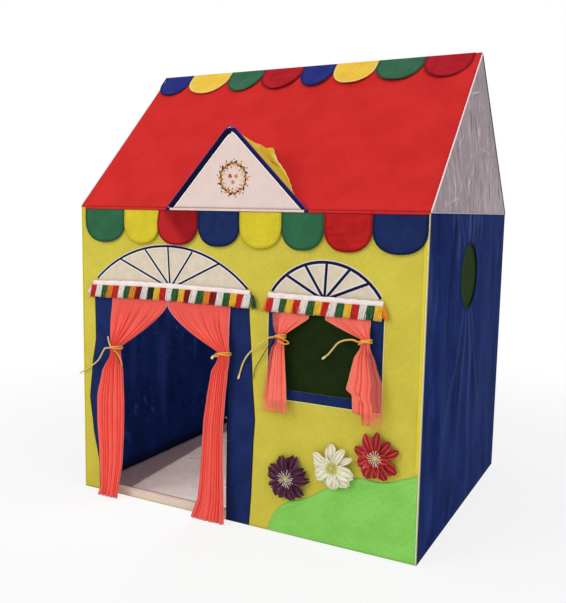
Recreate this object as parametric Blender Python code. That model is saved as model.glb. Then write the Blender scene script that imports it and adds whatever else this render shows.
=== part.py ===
"""Children's play tent: a sewn cloth cottage over a push-fit frame of plastic tube.

Metres, +Z up. The origin is the middle of the underside, and the front, with the door and
the window, faces -Y.
"""

import math

import bmesh
import bpy
from mathutils import Vector

# Overall size, outside the cloth
WIDTH = 1.200
DEPTH = 0.970
EAVE_HEIGHT = 0.975
RIDGE_RISE = 0.495

# Cloth, felt, and the gap that pieces keep between each other
CLOTH = 0.002
FELT = 0.002
GAP = 0.0003

# Frame tube and its push-fit fittings
TUBE_RADIUS = 0.010
TUBE_WALL = 0.0015
TUBE_SIDES = 12
SLEEVE_WALL = 0.003
SOCKET_CLEARANCE = 0.0005
SOCKET_START = 0.030
SOCKET_END = 0.060

# Door in the front wall, and its place from the wall's left edge
DOOR_FROM_LEFT = 0.132
DOOR_WIDTH = 0.448
DOOR_TOP = 0.700
SILL_HEIGHT = 0.024

# Window in the front wall, its place from the wall's right edge, and its net behind it
WINDOW_FROM_RIGHT = 0.160
WINDOW_WIDTH = 0.280
WINDOW_SILL = 0.445
WINDOW_TOP = 0.700
NET_LAP = 0.020

# Round window in the right wall
ROUND_RADIUS = 0.105
ROUND_FROM_FRONT = 0.450
ROUND_BELOW_EAVE = 0.199
ROUND_SIDES = 32

# Hanging folds of the side and back walls, which only swell outwards
FOLD_DEPTH = 0.006
FOLD_SPACING = 0.160
FOLD_FADE = 0.120
SIDE_WALL_COLUMNS = 20
BACK_WALL_COLUMNS = 24
WALL_ROWS = 6

# Dormer on the front roof
DORMER_OFFSET = -0.003
DORMER_WIDTH = 0.490
DORMER_RISE = 0.243
DORMER_REACH = 0.182
DORMER_ROUND = 0.018
DORMER_INSET = 0.008
DORMER_POINT = 0.008

# Scalloped flaps along the eave and the ridge
SCALLOP_COUNT = 8
SCALLOP_DROP = 0.115
SCALLOP_SIDE = 0.030
SCALLOP_SPACE = 0.002
SCALLOP_SEAM = 0.012

# Tassel fringes over the door and the window
FRINGE_RISE = 0.012
FRINGE_DROP = 0.040
FRINGE_THICKNESS = 0.0025
TASSEL_WIDTH = 0.022
TASSEL_SPACE = 0.002
TASSEL_HEAD = 0.008
DOOR_FRINGE_LAP = 0.085
WINDOW_FRINGE_LAP = 0.042

# Curtains: headers on the wall above the opening, drawn in at the ties
HEADER_RISE = 0.004
HEADER_THICKNESS = 0.004
DOOR_PLEAT_DEPTH = 0.008
WINDOW_PLEAT_DEPTH = 0.005
SWAG_POWER = 1.6
EDGE_THIN_SHARE = 0.3
DOOR_WAIST_WIDTH = 0.042
DOOR_WAIST_DEPTH = 0.022
WINDOW_WAIST_WIDTH = 0.028
WINDOW_WAIST_DEPTH = 0.016
DOOR_HEM_HEIGHT = 0.003
WINDOW_HEM_DROP = 0.067
DOOR_HEM_KICK = 0.022
WINDOW_HEM_KICK = 0.004
UNDER_TIE = 0.007
DOME_ANGLE = 85
DOME_ROWS = 2
CURTAIN_ROWS = 8
TAIL_ROWS = 10
COLUMNS_PER_PLEAT = 4

# Each curtain: how far it reaches past its side of the opening and over the opening, how far
# in from that side its waist is, and how far its tie is below the opening's top
CURTAIN_PART = 0.002
DOOR_LEFT_PAST = 0.000
DOOR_LEFT_WAIST = 0.0245
DOOR_LEFT_TIE_DROP = 0.1905
DOOR_RIGHT_PAST = 0.010
DOOR_RIGHT_WAIST = 0.003
DOOR_RIGHT_TIE_DROP = 0.1675
WINDOW_LEFT_PAST = 0.029
WINDOW_LEFT_OVER = 0.095
WINDOW_LEFT_WAIST = 0.009
WINDOW_LEFT_TIE_DROP = 0.0955
WINDOW_RIGHT_PAST = 0.005
WINDOW_RIGHT_OVER = 0.134
WINDOW_RIGHT_WAIST = 0.005
WINDOW_RIGHT_TIE_DROP = 0.085

# Edges of the hanging cloth below each tie: share of the drop, then the left and the right
# edge from the waist's middle, as shares of the spread
CURTAIN_SPREAD = 0.100
DOOR_LEFT_EDGE_SHARES = (
    (0.0, -0.21, 0.21), (0.14, -0.59, 0.33), (0.32, -0.79, 0.39), (0.50, -0.78, 0.39),
    (0.73, -0.65, 0.37), (0.94, -0.53, 0.24), (1.0, -0.63, 0.23),
)
DOOR_RIGHT_EDGE_SHARES = (
    (0.0, -0.21, 0.21), (0.08, -0.44, 0.15), (0.24, -0.57, 0.08), (0.40, -0.69, 0.03),
    (0.61, -0.73, 0.05), (0.72, -0.76, 0.09), (0.87, -0.80, 0.15), (1.0, -1.01, 0.20),
)
WINDOW_LEFT_EDGE_SHARES = (
    (0.0, -0.14, 0.14), (0.10, -0.29, 0.16), (0.28, -0.37, 0.20), (0.65, -0.50, 0.26),
    (1.0, -0.58, 0.31),
)
WINDOW_RIGHT_EDGE_SHARES = (
    (0.0, -0.14, 0.14), (0.18, -0.35, 0.33), (0.42, -0.46, 0.54), (0.56, -0.53, 0.57),
    (0.64, -0.33, 0.58), (1.0, -0.30, 0.58),
)

# Cords that tie the curtains back
TIE_DIAMETER = 0.005
TIE_SLACK = 0.0012
TIE_PITCH = 0.006
TIE_START_ANGLE = -120
TIE_END_ANGLE = 185

# Cloth flowers, sewn to the front wall: places as shares of its width and of the eave height
FLOWER_RADIUS = 0.072
FLOWER_HEIGHT = 0.016
PETAL_COUNT = 9
PETAL_NOTCH_SHARE = 0.45
PETAL_ROUNDNESS = 0.7
PURPLE_FLOWER_SHARES = (0.163, 0.182)
WHITE_FLOWER_SHARES = (0.283, 0.242)
RED_FLOWER_SHARES = (0.392, 0.295)

# Facets flatter than this are shaded as one round face
SMOOTH_ANGLE = math.radians(40)

PITCH = math.atan2(RIDGE_RISE, DEPTH / 2)
FRONT = -DEPTH / 2
SIDE = WIDTH / 2
ROUND_HEIGHT = EAVE_HEIGHT - ROUND_BELOW_EAVE
DOOR_LEFT = DOOR_FROM_LEFT - SIDE
DOOR_RIGHT = DOOR_LEFT + DOOR_WIDTH
DOOR_MIDDLE = DOOR_LEFT + DOOR_WIDTH / 2
WINDOW_RIGHT = SIDE - WINDOW_FROM_RIGHT
WINDOW_LEFT = WINDOW_RIGHT - WINDOW_WIDTH
SLEEVE_RADIUS = TUBE_RADIUS + SOCKET_CLEARANCE + SLEEVE_WALL
FRAME_INSET = CLOTH + GAP + SLEEVE_RADIUS
FRAME_X = SIDE - FRAME_INSET
FRAME_Y = DEPTH / 2 - FRAME_INSET
BASE_Z = FRAME_INSET

RED = (0.62, 0.035, 0.032)
YELLOW = (0.62, 0.50, 0.055)
NAVY = (0.012, 0.024, 0.110)
GREEN = (0.022, 0.140, 0.070)
BLUE = (0.014, 0.035, 0.180)
AMBER = (0.85, 0.52, 0.060)
GREY = (0.32, 0.26, 0.29)
CORAL = (0.90, 0.110, 0.080)
CREAM = (0.80, 0.70, 0.60)
WHITE = (0.85, 0.85, 0.80)
NET_GREEN = (0.016, 0.032, 0.008)
PURPLE = (0.090, 0.010, 0.045)
GOLD = (0.85, 0.55, 0.10)


def clear_scene():
    for obj in list(bpy.data.objects):
        bpy.data.objects.remove(obj, do_unlink=True)


def material_for(name, colour, roughness=0.9):
    """A Principled material of one colour."""
    made = bpy.data.materials.new(name + "_material")
    made.use_nodes = True
    shader = made.node_tree.nodes["Principled BSDF"]
    shader.inputs["Base Color"].default_value = (*colour, 1.0)
    shader.inputs["Roughness"].default_value = roughness
    return made


def object_from(name, shape, colour, location=(0, 0, 0), tilt=0.0, roughness=0.9):
    """The bmesh as a named object, its faces turned outwards."""
    bmesh.ops.recalc_face_normals(shape, faces=shape.faces)
    mesh = bpy.data.meshes.new(name)
    shape.to_mesh(mesh)
    shape.free()
    mesh.shade_smooth()
    mesh.set_sharp_from_angle(angle=SMOOTH_ANGLE)
    mesh.materials.append(material_for(name, colour, roughness))
    obj = bpy.data.objects.new(name, mesh)
    obj.location = location
    obj.rotation_euler = (tilt, 0, 0)
    bpy.context.scene.collection.objects.link(obj)
    return obj


def as_cutter(obj):
    obj.hide_render = True
    obj.display_type = "WIRE"
    return obj


def combine(target, other, operation):
    """Adds a Boolean of a helper object to the target."""
    as_cutter(other)
    modifier = target.modifiers.new(other.name, "BOOLEAN")
    modifier.operation = operation
    modifier.object = other


def plate(name, outline, depth, colour, location=(0, 0, 0), tilt=0.0):
    """A flat piece: (x, y, z) points of its outline, pushed through by the vector depth."""
    shape = bmesh.new()
    face = shape.faces.new([shape.verts.new(point) for point in outline])
    pushed = bmesh.ops.extrude_face_region(shape, geom=[face])["geom"]
    corners = [item for item in pushed if isinstance(item, bmesh.types.BMVert)]
    bmesh.ops.translate(shape, verts=corners, vec=depth)
    return object_from(name, shape, colour, location, tilt)


def sheet(name, columns, rows, outer, inner, colour, location=(0, 0, 0)):
    """A cloth piece between two surfaces, each a function of its shares across and down."""
    shape = bmesh.new()
    sides = []
    for surface in (outer, inner):
        sides.append([
            [shape.verts.new(surface(i / columns, j / rows)) for i in range(columns + 1)]
            for j in range(rows + 1)
        ])
    for grid in sides:
        for j in range(rows):
            for i in range(columns):
                shape.faces.new((grid[j][i], grid[j][i + 1], grid[j + 1][i + 1], grid[j + 1][i]))
    first, second = (rim_of(grid, columns, rows) for grid in sides)
    for k in range(len(first)):
        shape.faces.new((first[k - 1], first[k], second[k], second[k - 1]))
    return object_from(name, shape, colour, location)


def rim_of(grid, columns, rows):
    """The border points of a grid, in order round it."""
    top = [grid[0][i] for i in range(columns)]
    right = [grid[j][columns] for j in range(rows)]
    bottom = [grid[rows][i] for i in range(columns, 0, -1)]
    left = [grid[j][0] for j in range(rows, 0, -1)]
    return top + right + bottom + left


def roof_z(y, depth=0.0):
    """Height of the plane that lies this deep under the roof's outer face, at y."""
    along = DEPTH / 2 - abs(y)
    return EAVE_HEIGHT + along * math.tan(PITCH) - depth / math.cos(PITCH)


def between(start, end, share):
    return start + (end - start) * share


# Frame


def rod(name, start, end, radius, colour=WHITE, sides=TUBE_SIDES):
    """A round bar from one point to another."""
    start, end = Vector(start), Vector(end)
    along = end - start
    shape = bmesh.new()
    bmesh.ops.create_cone(
        shape, cap_ends=True, segments=sides, radius1=radius, radius2=radius, depth=along.length
    )
    turn = along.to_track_quat("Z", "Y").to_matrix()
    bmesh.ops.rotate(shape, verts=shape.verts, matrix=turn)
    bmesh.ops.translate(shape, verts=shape.verts, vec=(start + end) / 2)
    return object_from(name, shape, colour, roughness=0.35)


def tube(name, start, end):
    """A length of frame tube, open at both ends."""
    start, end = Vector(start), Vector(end)
    along = end - start
    shape = bmesh.new()
    made = bmesh.ops.create_circle(shape, segments=TUBE_SIDES, radius=TUBE_RADIUS)["verts"]
    bore = bmesh.ops.create_circle(shape, segments=TUBE_SIDES, radius=TUBE_RADIUS - TUBE_WALL)
    edges = {edge for vert in made + bore["verts"] for edge in vert.link_edges}
    ring = bmesh.ops.bridge_loops(shape, edges=list(edges))["faces"]
    pushed = bmesh.ops.extrude_face_region(shape, geom=ring, use_keep_orig=True)["geom"]
    corners = [item for item in pushed if isinstance(item, bmesh.types.BMVert)]
    bmesh.ops.translate(shape, verts=corners, vec=(0, 0, along.length))
    turn = along.to_track_quat("Z", "Y").to_matrix()
    bmesh.ops.rotate(shape, verts=shape.verts, matrix=turn)
    bmesh.ops.translate(shape, verts=shape.verts, vec=start)
    return object_from(name, shape, WHITE, roughness=0.35)


def push_fit_tube(name, start, end):
    """A tube between two fittings' centres, stopping at the bottom of each socket."""
    start, end = Vector(start), Vector(end)
    inset = (end - start).normalized() * (SOCKET_START + GAP)
    return tube(name, start + inset, end - inset)


def fitting(body, name, centre, sockets, solid_arms=()):
    """Adds a corner piece to the body: a ball with sleeves, bored where tubes push in.

    Each sleeve is a little slimmer than the last, so that their walls cross cleanly.
    """
    centre = Vector(centre)
    for number, arm in enumerate((*sockets, *solid_arms)):
        start = centre + Vector(arm) * SLEEVE_RADIUS / 3
        end = centre + Vector(arm) * SOCKET_END
        radius = SLEEVE_RADIUS - (number + 1) * GAP / 2
        combine(body, rod(f"{name}_sleeve_{number}", start, end, radius), "UNION")
    for number, arm in enumerate(sockets):
        start = centre + Vector(arm) * SOCKET_START
        end = centre + Vector(arm) * (SOCKET_END + SLEEVE_RADIUS)
        bore = rod(f"{name}_bore_{number}", start, end, TUBE_RADIUS + SOCKET_CLEARANCE)
        combine(body, bore, "DIFFERENCE")


def ball(name, centre):
    """The core where a fitting's sleeves meet."""
    shape = bmesh.new()
    bmesh.ops.create_icosphere(shape, subdivisions=2, radius=SLEEVE_RADIUS)
    bmesh.ops.translate(shape, verts=shape.verts, vec=centre)
    return object_from(name, shape, WHITE, roughness=0.35)


def post(name, x, y):
    """A corner post with its base elbow glued on. Its top end pushes into the eave corner."""
    base = (x, y, BASE_Z)
    top = (x, y, eave_z() - SOCKET_START - GAP)
    body = ball(name, base)
    combine(body, tube(name + "_tube", base, top), "UNION")
    arms = ((-math.copysign(1, x), 0, 0), (0, -math.copysign(1, y), 0))
    fitting(body, name, base, arms, solid_arms=((0, 0, 1),))


def eave_z():
    """Height of the eave rails: they lie just inside the corner of wall and roof."""
    return roof_z(FRAME_Y, FRAME_INSET)


def ridge_z():
    return roof_z(0, FRAME_INSET)


def eave_corner(name, x, y):
    centre = (x, y, eave_z())
    toward_ridge = Vector((0, -y, ridge_z() - eave_z())).normalized()
    arms = (
        (-math.copysign(1, x), 0, 0),
        (0, -math.copysign(1, y), 0),
        (0, 0, -1),
        toward_ridge,
    )
    fitting(ball(name, centre), name, centre, arms)


def ridge_pole():
    """The ridge bar, solid because its ends are shut, with a tee glued to each for the rafters."""
    ends = [Vector((x, 0, ridge_z())) for x in (-FRAME_X, FRAME_X)]
    body = ball("ridge_pole", ends[0])
    inset = Vector((SLEEVE_RADIUS / 2, 0, 0))
    combine(body, rod("ridge_pole_rod", ends[0] + inset, ends[1] - inset, TUBE_RADIUS), "UNION")
    combine(body, ball("ridge_pole_ball", ends[1]), "UNION")
    for end in ends:
        arms = [Vector((0, y, eave_z() - ridge_z())).normalized() for y in (-FRAME_Y, FRAME_Y)]
        inward = (-math.copysign(1, end.x), 0, 0)
        fitting(body, f"ridge_tee_{'left' if end.x < 0 else 'right'}", end, arms, (inward,))


def frame():
    corners = {
        "front_left": (-FRAME_X, -FRAME_Y),
        "front_right": (FRAME_X, -FRAME_Y),
        "back_left": (-FRAME_X, FRAME_Y),
        "back_right": (FRAME_X, FRAME_Y),
    }
    for place, (x, y) in corners.items():
        post("post_" + place, x, y)
        eave_corner("eave_corner_" + place, x, y)
        push_fit_tube("rafter_" + place, (x, y, eave_z()), (x, 0, ridge_z()))
    runs = {
        "front": ("front_left", "front_right"),
        "back": ("back_left", "back_right"),
        "left": ("front_left", "back_left"),
        "right": ("front_right", "back_right"),
    }
    for place, (start, end) in runs.items():
        push_fit_tube("base_rail_" + place, (*corners[start], BASE_Z), (*corners[end], BASE_Z))
        push_fit_tube("eave_rail_" + place, (*corners[start], eave_z()), (*corners[end], eave_z()))
    ridge_pole()


# Cover


def wall_top():
    return roof_z(DEPTH / 2, CLOTH + GAP)


def box(name, low, high, colour=NAVY):
    """An upright block between two corners."""
    outline = [
        (low[0], low[1], low[2]),
        (high[0], low[1], low[2]),
        (high[0], high[1], low[2]),
        (low[0], high[1], low[2]),
    ]
    return plate(name, outline, (0, 0, high[2] - low[2]), colour)


def front_wall():
    inside = FRONT + CLOTH
    wall = box("front_wall", (-SIDE, FRONT, 0), (SIDE, inside, wall_top()), YELLOW)
    reach = FRONT - CLOTH, inside + CLOTH
    door = box(
        "door_cut",
        (DOOR_LEFT, reach[0], SILL_HEIGHT),
        (DOOR_RIGHT, reach[1], DOOR_TOP),
    )
    window = box(
        "window_cut",
        (WINDOW_LEFT, reach[0], WINDOW_SILL),
        (WINDOW_RIGHT, reach[1], WINDOW_TOP),
    )
    combine(wall, door, "DIFFERENCE")
    combine(wall, window, "DIFFERENCE")


def fold(along, height, length):
    """How far a hanging wall swells outwards, fading to nothing at its seams."""
    edge = min(along, length - along, height, wall_top() - height)
    count = max(1, round(length / FOLD_SPACING))
    wave = 0.5 - 0.5 * math.cos(2 * math.pi * count * along / length)
    return FOLD_DEPTH * wave * min(1.0, edge / FOLD_FADE)


def near_round_window(y, z):
    """Share of the fold that is left beside the round window, whose rim is flat."""
    away = math.hypot(y - (FRONT + ROUND_FROM_FRONT), z - ROUND_HEIGHT) - ROUND_RADIUS - NET_LAP
    return min(1.0, max(0.0, away / FOLD_FADE))


def side_wall(name, side, share_of_fold):
    """A side wall between the front and back walls. side is -1 on the left and 1 on the right."""
    start = FRONT + CLOTH + GAP
    length = DEPTH - 2 * (CLOTH + GAP)

    def surface(depth):
        def point(across, down):
            y = start + length * across
            z = wall_top() * (1 - down)
            swell = fold(length * across, z, length) * share_of_fold(y, z)
            return side * (SIDE - depth + swell), y, z
        return point

    return sheet(name, SIDE_WALL_COLUMNS, WALL_ROWS, surface(0), surface(CLOTH), NAVY)


def back_wall():
    def surface(depth):
        def point(across, down):
            z = wall_top() * (1 - down)
            swell = fold(WIDTH * across, z, WIDTH)
            return WIDTH * across - SIDE, DEPTH / 2 - depth + swell, z
        return point

    sheet("back_wall", BACK_WALL_COLUMNS, WALL_ROWS, surface(0), surface(CLOTH), NAVY)


def disc(name, x, radius, thickness, colour):
    """A round plate across X, centred on the round window."""
    centre = Vector((x, FRONT + ROUND_FROM_FRONT, ROUND_HEIGHT))
    through = Vector((thickness, 0, 0))
    return rod(name, centre - through / 2, centre + through / 2, radius, colour, ROUND_SIDES)


def walls():
    front_wall()
    back_wall()
    side_wall("left_wall", -1, lambda y, z: 1.0)
    right = side_wall("right_wall", 1, near_round_window)
    combine(right, disc("round_window_cut", SIDE, ROUND_RADIUS, 4 * CLOTH, NAVY), "DIFFERENCE")


def nets():
    behind = FRONT + CLOTH + GAP
    box(
        "window_net",
        (WINDOW_LEFT - NET_LAP, behind, WINDOW_SILL - NET_LAP),
        (WINDOW_RIGHT + NET_LAP, behind + CLOTH, WINDOW_TOP + NET_LAP),
        NET_GREEN,
    )
    inside = SIDE - CLOTH - GAP - CLOTH / 2
    disc("round_window_net", inside, ROUND_RADIUS + NET_LAP, CLOTH, NET_GREEN)


def roof(name, side):
    """One slope of the roof. side is -1 for the front slope and 1 for the back."""
    low, high = side * DEPTH / 2, side * GAP / 2
    outline = [
        (-SIDE, low, roof_z(low)),
        (-SIDE, high, roof_z(high)),
        (-SIDE, high, roof_z(high, CLOTH)),
        (-SIDE, low, roof_z(low, CLOTH)),
    ]
    plate(name, outline, (WIDTH, 0, 0), RED)


def gable(name, side):
    """The triangle of cloth between a side wall and the roof."""
    low = wall_top() + GAP
    under = CLOTH + GAP
    reach = DEPTH / 2 - (low - EAVE_HEIGHT + under / math.cos(PITCH)) / math.tan(PITCH)
    x = side * SIDE
    outline = [(x, -reach, low), (x, reach, low), (x, 0, roof_z(0, under))]
    plate(name, outline, (-side * CLOTH, 0, 0), GREY)


def floor_sheet():
    x, y = SIDE - CLOTH - GAP, DEPTH / 2 - CLOTH - GAP
    box("floor_sheet", (-x, -y, 0), (x, y, CLOTH), GREY)


def rounded_gable(width, rise, radius, steps=8):
    """(x, z) points of an upright triangle with a rounded top, from base to base."""
    slope = math.atan2(rise, width / 2)
    top = rise - radius
    points = [(-width / 2, 0.0)]
    for k in range(steps + 1):
        angle = math.pi / 2 + slope - 2 * slope * k / steps
        points.append((radius * math.cos(angle), top + radius * math.sin(angle)))
    points.append((width / 2, 0.0))
    return points


def dormer():
    back = FRONT + CLOTH
    base = roof_z(back, -GAP)
    outline = rounded_gable(DORMER_WIDTH, DORMER_RISE, DORMER_ROUND)
    front = [(DORMER_OFFSET + x, FRONT, base + z) for x, z in outline]
    plate("dormer_front", front, (0, CLOTH, 0), CREAM)

    y = back + GAP
    base = roof_z(y, -GAP)
    slope = math.atan2(DORMER_RISE, DORMER_WIDTH / 2)
    loops = []
    for inset in (DORMER_INSET, DORMER_INSET + CLOTH):
        width = DORMER_WIDTH - 2 * inset / math.sin(slope)
        rise = DORMER_RISE - inset / math.cos(slope)
        outline = rounded_gable(width, rise, DORMER_ROUND)
        loops.append([(DORMER_OFFSET + x, y, base + z) for x, z in outline])
    shape = bmesh.new()
    outer, inner = ([shape.verts.new(point) for point in loop] for loop in loops)
    tips = []
    for reach in (DORMER_REACH, DORMER_REACH - DORMER_POINT):
        tips.append(shape.verts.new((DORMER_OFFSET, FRONT + reach, roof_z(FRONT + reach, -GAP))))
    for k in range(len(outer) - 1):
        shape.faces.new((tips[0], outer[k], outer[k + 1]))
        shape.faces.new((tips[1], inner[k + 1], inner[k]))
        shape.faces.new((outer[k], inner[k], inner[k + 1], outer[k + 1]))
    shape.faces.new((tips[0], tips[1], inner[0], outer[0]))
    shape.faces.new((outer[-1], inner[-1], tips[1], tips[0]))
    object_from("dormer_cover", shape, YELLOW)


# Flaps


def lobe(left, right, drop, straight, steps=12):
    """(x, z) points down, round and up a rounded flap that hangs from z = 0."""
    middle, half = (left + right) / 2, (right - left) / 2
    points = []
    for k in range(steps + 1):
        angle = math.pi * k / steps
        x = middle - half * math.cos(angle)
        points.append((x, -straight - (drop - straight) * math.sin(angle)))
    return points


def hanging(name, outline, thickness, colour, location, tilt=0.0):
    """A flat flap whose origin is the middle of its top edge's thickness, on its hinge."""
    points = [(x, thickness / 2, z) for x, z in outline]
    return plate(name, points, (0, -thickness, 0), colour, location, tilt)


def eave_hinge_y():
    return FRONT - GAP - FELT / 2


def eave_scallops():
    pitch = WIDTH / SCALLOP_COUNT
    colours = (GREEN, AMBER, RED, BLUE, AMBER, GREEN, RED, BLUE)
    half = (pitch - SCALLOP_SPACE) / 2
    outline = [(-half, 0.0), *lobe(-half, half, SCALLOP_DROP, SCALLOP_SIDE), (half, 0.0)]
    for k in range(SCALLOP_COUNT):
        x = -SIDE + pitch * (k + 0.5)
        colour = colours[k % len(colours)]
        place = (x, eave_hinge_y(), wall_top())
        hanging(f"eave_scallop_{k + 1}", outline, FELT, colour, place)


def ridge_scallops():
    """One strip of eight lobes on the front slope, hinged at the ridge seam."""
    pitch = WIDTH / SCALLOP_COUNT
    half = (pitch - SCALLOP_SPACE) / 2
    outline = [(-SIDE, 0.0)]
    for k in range(SCALLOP_COUNT):
        x = -SIDE + pitch * (k + 0.5)
        outline += [(x - half, -SCALLOP_SEAM)] if k else []
        outline += lobe(x - half, x + half, SCALLOP_DROP, SCALLOP_SIDE, steps=8)
        outline += [(x + half, -SCALLOP_SEAM)] if k < SCALLOP_COUNT - 1 else []
    outline += [(SIDE, 0.0)]
    place = (0, 0, roof_z(0, -GAP - FELT / 2))
    hanging("ridge_scallops", outline, FELT, AMBER, place, PITCH - math.pi / 2)


def fringe(name, left, right, top):
    """A row of tassels that hangs in front of the curtain headers."""
    count = max(1, round((right - left) / TASSEL_WIDTH))
    pitch = (right - left) / count
    outline = [(left, 0.0)]
    for k in range(count):
        start = left + pitch * k + (TASSEL_SPACE / 2 if k else 0.0)
        end = left + pitch * (k + 1) - (TASSEL_SPACE / 2 if k < count - 1 else 0.0)
        outline += [(start, -TASSEL_HEAD)] if k else []
        outline += lobe(start, end, FRINGE_DROP, FRINGE_DROP - pitch / 4, steps=3)
        outline += [(end, -TASSEL_HEAD)] if k < count - 1 else []
    outline += [(right, 0.0)]
    place = (0, fringe_y(), top + FRINGE_RISE)
    hanging(name, outline, FRINGE_THICKNESS, WHITE, place)


def fringe_y():
    return FRONT - 2 * GAP - HEADER_THICKNESS - FRINGE_THICKNESS / 2


def fringes():
    lap = DOOR_FRINGE_LAP
    fringe("door_fringe", DOOR_LEFT - lap, DOOR_RIGHT + lap, DOOR_TOP)
    lap = WINDOW_FRINGE_LAP
    fringe("window_fringe", WINDOW_LEFT - lap, WINDOW_RIGHT + lap, WINDOW_TOP)


# Curtains


class Curtain:
    """One tied curtain, from its outer edge at the opening's side to its inner edge."""

    def __init__(self, name, door, outer, inner, waist, tie_drop, edge_shares):
        self.name = name
        self.outer = outer
        self.inner = inner
        self.waist = waist
        self.edge_shares = edge_shares
        opening_top = DOOR_TOP if door else WINDOW_TOP
        self.tie = opening_top - tie_drop
        self.top = opening_top + FRINGE_RISE + HEADER_RISE
        self.under_fringe = opening_top + FRINGE_RISE - FRINGE_DROP - UNDER_TIE
        self.hem = DOOR_HEM_HEIGHT if door else WINDOW_SILL - WINDOW_HEM_DROP
        self.kick = DOOR_HEM_KICK if door else WINDOW_HEM_KICK
        self.pleats = 5 if door else 4
        self.pleat_depth = DOOR_PLEAT_DEPTH if door else WINDOW_PLEAT_DEPTH
        self.width = DOOR_WAIST_WIDTH if door else WINDOW_WAIST_WIDTH
        self.depth = DOOR_WAIST_DEPTH if door else WINDOW_WAIST_DEPTH
        self.back = FRONT - GAP
        self.waist_y = self.back - TIE_DIAMETER - TIE_SLACK - GAP - self.depth / 2
        self.hinge_z = self.tie - UNDER_TIE - GAP - self.depth / 2

    def bulge(self, across, gathered):
        """Share of the thickness at this place across: rounder as the cloth is gathered."""
        round_share = math.sqrt(max(0.0, 1 - (2 * across - 1) ** 2))
        return between(1.0, max(EDGE_THIN_SHARE, round_share), gathered)

    def ripple(self, across):
        """Depth of the pleats at this place across, from none to all."""
        return 0.5 - 0.5 * math.cos(2 * math.pi * self.pleats * across)

    def upper(self, front, rows):
        """The header, flat to just below the fringe, then the swag, then straight in the tie."""
        drawn_in = self.tie + UNDER_TIE
        side = math.copysign(1, self.inner - self.outer)

        def point(across, down):
            row = round(down * rows)
            drawn = min(1.0, max(0, row - 1) / (rows - 2))
            z = between(self.under_fringe, drawn_in, drawn)
            if row in (0, rows):
                z = self.tie - UNDER_TIE if row else self.top
            outer = between(self.outer, self.waist - side * self.width / 2, drawn ** 3)
            inner = between(self.inner, self.waist + side * self.width / 2, drawn ** SWAG_POWER)
            thickness = between(HEADER_THICKNESS, self.depth, drawn)
            middle = between(self.back - HEADER_THICKNESS / 2, self.waist_y, drawn)
            half = thickness / 2 * self.bulge(across, drawn)
            pleat = self.pleat_depth * self.ripple(across) * math.sin(math.pi * drawn)
            y = middle - half - pleat if front else middle + half
            return between(outer, inner, across), y, z
        return point

    def edges(self, down):
        """Left and right edge at a share of the drop below the tie, from the waist's middle."""
        rows = self.edge_shares
        for (above, *start), (below, *end) in zip(rows, rows[1:]):
            if down <= below:
                share = (down - above) / (below - above)
                return [between(a, b, share) * CURTAIN_SPREAD for a, b in zip(start, end)]
        return [share * CURTAIN_SPREAD for share in rows[-1][1:]]

    def lower(self, front, rows):
        """The surface below the tie, from its hinge. Its top is round about the hinge."""
        half = self.depth / 2

        def point(across, down):
            row = round(down * rows)
            if row < DOME_ROWS:
                angle = math.radians(between(DOME_ANGLE, 0, row / DOME_ROWS))
                z, thick, fall = half * math.sin(angle), half * math.cos(angle), 0.0
            else:
                fall = (row - DOME_ROWS) / (rows - DOME_ROWS)
                z, thick = -fall * (self.hinge_z - self.hem), half
            left, right = self.edges(fall)
            swell = self.pleat_depth * self.ripple(across) * min(1.0, 4 * fall)
            forward = self.kick * fall ** 3
            reach = thick * self.bulge(across, 1.0)
            y = -reach - swell - forward if front else reach * (1 - fall / 2) - forward
            return between(left, right, across), y, z
        return point

    def make(self):
        columns, rows = COLUMNS_PER_PLEAT * self.pleats, CURTAIN_ROWS
        sheet(self.name, columns, rows, self.upper(True, rows), self.upper(False, rows), CORAL)
        rows = TAIL_ROWS
        place = (self.waist, self.waist_y, self.hinge_z)
        lower = (self.lower(True, rows), self.lower(False, rows))
        sheet(self.name + "_tail", columns, rows, *lower, CORAL, place)


CURTAINS = (
    Curtain(
        "door_curtain_left", True, DOOR_LEFT - DOOR_LEFT_PAST, DOOR_MIDDLE - CURTAIN_PART / 2,
        DOOR_LEFT + DOOR_LEFT_WAIST, DOOR_LEFT_TIE_DROP, DOOR_LEFT_EDGE_SHARES,
    ),
    Curtain(
        "door_curtain_right", True, DOOR_RIGHT + DOOR_RIGHT_PAST, DOOR_MIDDLE + CURTAIN_PART / 2,
        DOOR_RIGHT - DOOR_RIGHT_WAIST, DOOR_RIGHT_TIE_DROP, DOOR_RIGHT_EDGE_SHARES,
    ),
    Curtain(
        "window_curtain_left", False, WINDOW_LEFT - WINDOW_LEFT_PAST,
        WINDOW_LEFT + WINDOW_LEFT_OVER, WINDOW_LEFT + WINDOW_LEFT_WAIST,
        WINDOW_LEFT_TIE_DROP, WINDOW_LEFT_EDGE_SHARES,
    ),
    Curtain(
        "window_curtain_right", False, WINDOW_RIGHT + WINDOW_RIGHT_PAST,
        WINDOW_RIGHT - WINDOW_RIGHT_OVER, WINDOW_RIGHT - WINDOW_RIGHT_WAIST,
        WINDOW_RIGHT_TIE_DROP, WINDOW_RIGHT_EDGE_SHARES,
    ),
)


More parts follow.
